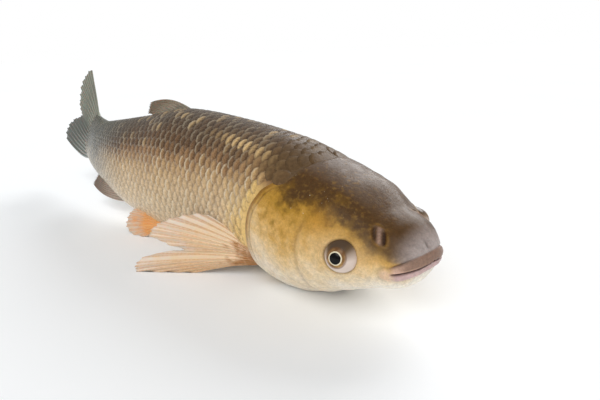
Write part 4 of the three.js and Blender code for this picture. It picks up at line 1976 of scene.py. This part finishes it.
@dataclass
class PairedFin(Fin):
    """A pectoral or pelvic fin, its rays aimed tailwards, outwards and up."""

    side: Side = Side.RIGHT
    at: float = 0.0
    low: float = 0.0
    high: float = 0.0
    slant: float = 0.0
    aims: tuple[tuple[float, float, float, float], ...] = ()
    lengths: Points = ()
    droop: float = 0.0
    root_depth: float = 2.5

    def fan(self, across: Array, along: Array) -> Array:
        """The middle surface, spread out from a slanting line on the flank.

        Args:
            across: places from one edge of the fin to the other, 0 to 1.
            along: places from the root to the margin, 0 to 1.

        Returns:
            The points in the scene, in millimetres.
        """
        form = self.form
        at, power = np.array(self.at), form.section_power
        level = self.low + (self.high - self.low) * across
        width = form.half(at) * (1 - np.abs(level) ** power) ** (1 / power) - self.root_depth
        height = form.middle(at) + level * form.half_height(at)
        back, out, up = (
            SmoothCurve(tuple((a[0], a[i]) for a in self.aims))(across) for i in (1, 2, 3)
        )
        reach = SmoothCurve(self.lengths)(across) * along / np.sqrt(back**2 + out**2 + up**2)
        sag = self.droop * along * (1 - along) * 4
        sign = self.side.value
        root = form.place(np.stack([self.at + self.slant * (1 - across), sign * width, height], -1))
        here = int(round(self.at))
        return (
            root
            + form.tailwards[here] * (back * reach)[..., None]
            + form.left[here] * (sign * out * reach)[..., None]
            + form.up[here] * (up * reach + sag)[..., None]
        )


PECTORAL: dict[str, object] = {
    "rays": 14,
    "at": 107.0,
    "low": -0.74,
    "high": -0.44,
    "slant": 3.0,
    "aims": (
        (0, 0.77, 0.6, -0.24), (0.3, 0.78, 0.62, -0.12), (0.45, 0.83, 0.55, -0.02),
        (0.7, 0.85, 0.52, 0.16), (1, 0.92, 0.22, 0.36),
    ),
    "lengths": (
        (0, 64), (0.08, 77), (0.2, 87), (0.33, 87), (0.42, 70), (0.47, 52), (0.52, 62),
        (0.6, 76), (0.72, 71), (0.86, 58), (1, 42),
    ),
    "droop": 1.5,
}

PELVIC: dict[str, object] = {
    "rays": 8,
    "at": 210.0,
    "low": -0.86,
    "high": -0.72,
    "slant": 4.0,
    "aims": (
        (0, 0.87, 0.22, -0.42), (0.35, 0.95, 0.1, -0.26), (0.6, 0.98, 0, -0.16),
        (1, 0.985, -0.08, 0.03),
    ),
    "lengths": ((0, 31), (0.2, 44), (0.6, 56), (0.8, 54), (1, 46)),
    "droop": 0.5,
}

PEACH_FIN = FinFinish(
    "pectoral_skin",
    web=paint(244, 214, 178),
    web_edge=paint(240, 220, 202),
    ray=paint(206, 158, 106),
    root=paint(166, 106, 28),
)
ORANGE_FIN = FinFinish(
    "pelvic_skin",
    web=paint(248, 182, 112),
    web_edge=paint(226, 206, 186),
    ray=paint(216, 146, 84),
    root=paint(236, 160, 84),
)
SLATE_FIN = FinFinish(
    "tail_skin",
    web=paint(114, 118, 108),
    web_edge=paint(104, 108, 100),
    ray=paint(70, 72, 66),
    root=paint(106, 108, 98),
    upper=paint(150, 154, 138),
)
OLIVE_FIN = FinFinish(
    "dorsal_skin",
    web=paint(162, 152, 130),
    web_edge=paint(158, 148, 130),
    ray=paint(106, 96, 80),
    root=paint(112, 102, 86),
)
GREY_FIN = FinFinish(
    "anal_skin",
    web=paint(176, 160, 142),
    web_edge=paint(146, 138, 128),
    ray=paint(120, 106, 92),
    root=paint(190, 168, 142),
)


def all_fins(form: BodyForm) -> list[Fin]:
    """Every fin of the fish.

    Args:
        form: the body's form.

    Returns:
        The dorsal, anal and tail fins, then a pectoral and a pelvic fin for each side.
    """
    fins: list[Fin] = [
        FoldedFin(
            form, "dorsal_fin", OLIVE_FIN, 9, start=211, end=260, tip=274, height=12, way=1, lean=0.12
        ),
        FoldedFin(
            form, "anal_fin", GREY_FIN, 9, start=279, end=322, tip=354, height=13, way=-1, lean=-0.3
        ),
        TailFin(form, "tail_fin", SLATE_FIN, 18, root_thickness=4.0, ragged=0.035),
    ]
    for side in Side:
        word = side.name.lower()
        fins.append(PairedFin(form, f"pectoral_fin_{word}", PEACH_FIN, side=side, **PECTORAL))
        fins.append(PairedFin(form, f"pelvic_fin_{word}", ORANGE_FIN, side=side, **PELVIC))
    return fins


# Eyes.


@dataclass
class Eyes:
    """The two eyeballs."""

    form: BodyForm
    features: HeadFeatures
    cornea: float = 0.8
    gaze_up: float = 0.2
    gaze_back: float = -0.07
    steps: int = 60
    around: int = 72

    def build(self, material: bpy.types.Material) -> list[bpy.types.Object]:
        """Builds both eyes.

        Args:
            material: the finish.

        Returns:
            The finished pieces.
        """
        return [self.ball(side, material) for side in Side]

    def ball(self, side: Side, material: bpy.types.Material) -> bpy.types.Object:
        """Builds one eyeball round its line of sight.

        Args:
            side: which eye.
            material: the finish.

        Returns:
            The finished piece.
        """
        at, sight = self.features.eye(self.form, side)
        radius = self.features.eye_radius
        up = unit(np.array([0.0, 0.0, 1.0]) - sight * sight[2])
        beside = np.cross(sight, up)
        turn = np.linspace(-math.pi / 2, math.pi / 2, self.steps + 2)[1:-1]
        bulge = self.cornea * ease(np.sin(turn), 0.6, 0.95)
        out = np.cos(turn) * radius
        ahead = np.sin(turn) * radius + bulge
        phi = np.arange(self.around) / self.around * 2 * math.pi
        rings = (
            at
            + ahead[:, None, None] * sight
            + (out[:, None] * np.cos(phi))[..., None] * up
            - (out[:, None] * np.sin(phi))[..., None] * beside
        )
        back, front = at - sight * radius, at + sight * (radius + self.cornea)
        gaze = unit(sight + self.gaze_up * up + self.gaze_back * np.array([-1.0, 0.0, 0.0]))
        away = rings - at
        ahead_of = away @ gaze
        distance = np.linalg.norm(away - ahead_of[..., None] * gaze, axis=-1)
        marks = {
            "from_sight": np.where(ahead_of > 0, distance, 2 * radius - distance),
            "upwards": np.repeat(np.cos(phi)[None], self.steps, 0),
        }
        name = f"eyeball_{side.name.lower()}"
        piece = close_shell(name, back, rings, front, material, marks)
        node = "eye_right" if side is Side.RIGHT else "eye_left"
        return enlist(piece, node)


# The studio.


@dataclass
class Studio:
    """A pale floor, soft light and a camera where the photographer stood."""

    form: BodyForm
    camera_at: tuple[float, float, float] = (120.43, -180.43, 96.14)
    ahead: tuple[float, float, float] = (-0.73965, 0.60272, -0.29941)
    up: tuple[float, float, float] = (-0.20795, 0.21845, 0.95344)
    lens_mm: float = 28.85
    sensor_mm: float = 36.0
    floor_half: float = 20.0
    floor_glow: float = 0.03
    floor_tone: tuple[float, float] = (0.95, 0.97)
    floor_tint: Colour = (0.965, 0.985, 1.0, 1.0)
    ambient: float = 0.38

    def camera(self) -> bpy.types.Object:
        """Sets up the camera.

        Returns:
            The camera.
        """
        data = bpy.data.cameras.new("camera")
        data.sensor_width = self.sensor_mm
        data.lens = self.lens_mm
        data.clip_start, data.clip_end = 0.01, 60.0
        camera = bpy.data.objects.new("camera", data)
        ahead = Vector(self.ahead).normalized()
        up = Vector(self.up)
        up = (up - ahead * up.dot(ahead)).normalized()
        right = ahead.cross(up)
        turn = Matrix((right, up, -ahead)).transposed()
        place = Vector((np.array(self.camera_at) + self.form.shift) * MM)
        camera.matrix_world = Matrix.Translation(place) @ turn.to_4x4()
        link(camera)
        bpy.context.scene.camera = camera
        return camera

    def floor(self) -> bpy.types.Object:
        """Lays the pale floor.

        Returns:
            The floor, which belongs to the stage.
        """
        material, g = new_material("floor")
        tone = g.grey(g.sway(g.noise(3, 2), *self.floor_tone))
        colour = g.blend(1.0, tone, self.floor_tint, "MULTIPLY")
        finish_surface(
            g, colour, None, Roughness=0.9, Specular_IOR_Level=0.0,
            Emission_Color=WHITE, Emission_Strength=self.floor_glow,
        )
        h = self.floor_half
        mesh = bpy.data.meshes.new("floor")
        mesh.from_pydata([(-h, -h, 0), (h, -h, 0), (h, h, 0), (-h, h, 0)], [], [(0, 1, 2, 3)])
        mesh.materials.append(material)
        floor = bpy.data.objects.new("floor", mesh)
        link(floor)
        return floor

    def sun(
        self, name: str, way: tuple[float, float, float], strength: float, width: float
    ) -> None:
        """Adds a very large, far, soft light.

        Args:
            name: its name.
            way: the direction towards it.
            strength: its strength.
            width: how wide it looks, in degrees.
        """
        data = bpy.data.lights.new(name, "SUN")
        data.energy = strength
        data.angle = math.radians(width)
        lamp = bpy.data.objects.new(name, data)
        lamp.rotation_euler = Vector(way).to_track_quat("Z", "Y").to_euler()
        link(lamp)

    def surroundings(self) -> None:
        """Sets up a white backdrop that lights the fish only weakly."""
        world = bpy.data.worlds.new("studio")
        world.use_nodes = True
        g = Graph(world.node_tree)
        seen = g.add("ShaderNodeLightPath").outputs["Is Camera Ray"]
        strength = g.span(seen, 0.0, 1.0, (self.ambient, 1.0))
        light = g.add("ShaderNodeBackground", Color=WHITE, Strength=strength)
        g.add("ShaderNodeOutputWorld", Surface=light.outputs[0])
        bpy.context.scene.world = world

    def build(self) -> None:
        """Sets up the camera, the floor, the lights and the backdrop."""
        self.camera()
        self.floor()
        self.sun("overhead", way=(-0.35, 0.95, 0.6), strength=1.9, width=40.0)
        self.sun("front", way=(0.5, -0.8, 1.1), strength=1.5, width=50.0)
        self.surroundings()
        bpy.context.scene.view_settings.view_transform = "Standard"


def frame_shift(form: BodyForm, features: HeadFeatures) -> Array:
    """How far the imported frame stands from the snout's own origin, in millimetres.

    Args:
        form: the body's form, not yet shifted.
        features: the head's features.

    Returns:
        The shift that brings both eyes onto their packed places, with the table at height 0.
    """
    packed = [(sum(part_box(node), Vector()) / 2) for node in ("eye_right", "eye_left")]
    wanted = np.array([list(v) for v in packed]).mean(0) / MM
    made = np.array([features.eye(form, side)[0] for side in Side]).mean(0)
    shift = wanted - made
    shift[2] = -form.floor
    return shift


def main() -> None:
    """Builds the fish and its studio, in order."""
    logging.basicConfig(level=logging.INFO, format="%(message)s")
    form = BodyForm()
    features = HeadFeatures()
    form.shift = frame_shift(form, features)
    log.info("shift %s", np.round(form.shift, 3))
    zones = TrunkMarks(features.gill_edge)
    coat = ScaleFinish()
    HeadSkin(form, features, Mouth(form), Nostril(form)).build(HeadSkinFinish().make())
    TrunkSkin(form, features, zones).build(coat.make_under_skin())
    ScaleCoat(form, features, zones).build(coat.make())
    for fin in all_fins(form):
        fin.build()
    Eyes(form, features).build(EyeFinish().make())
    Studio(form).build()


if __name__ == "__main__":
    main()
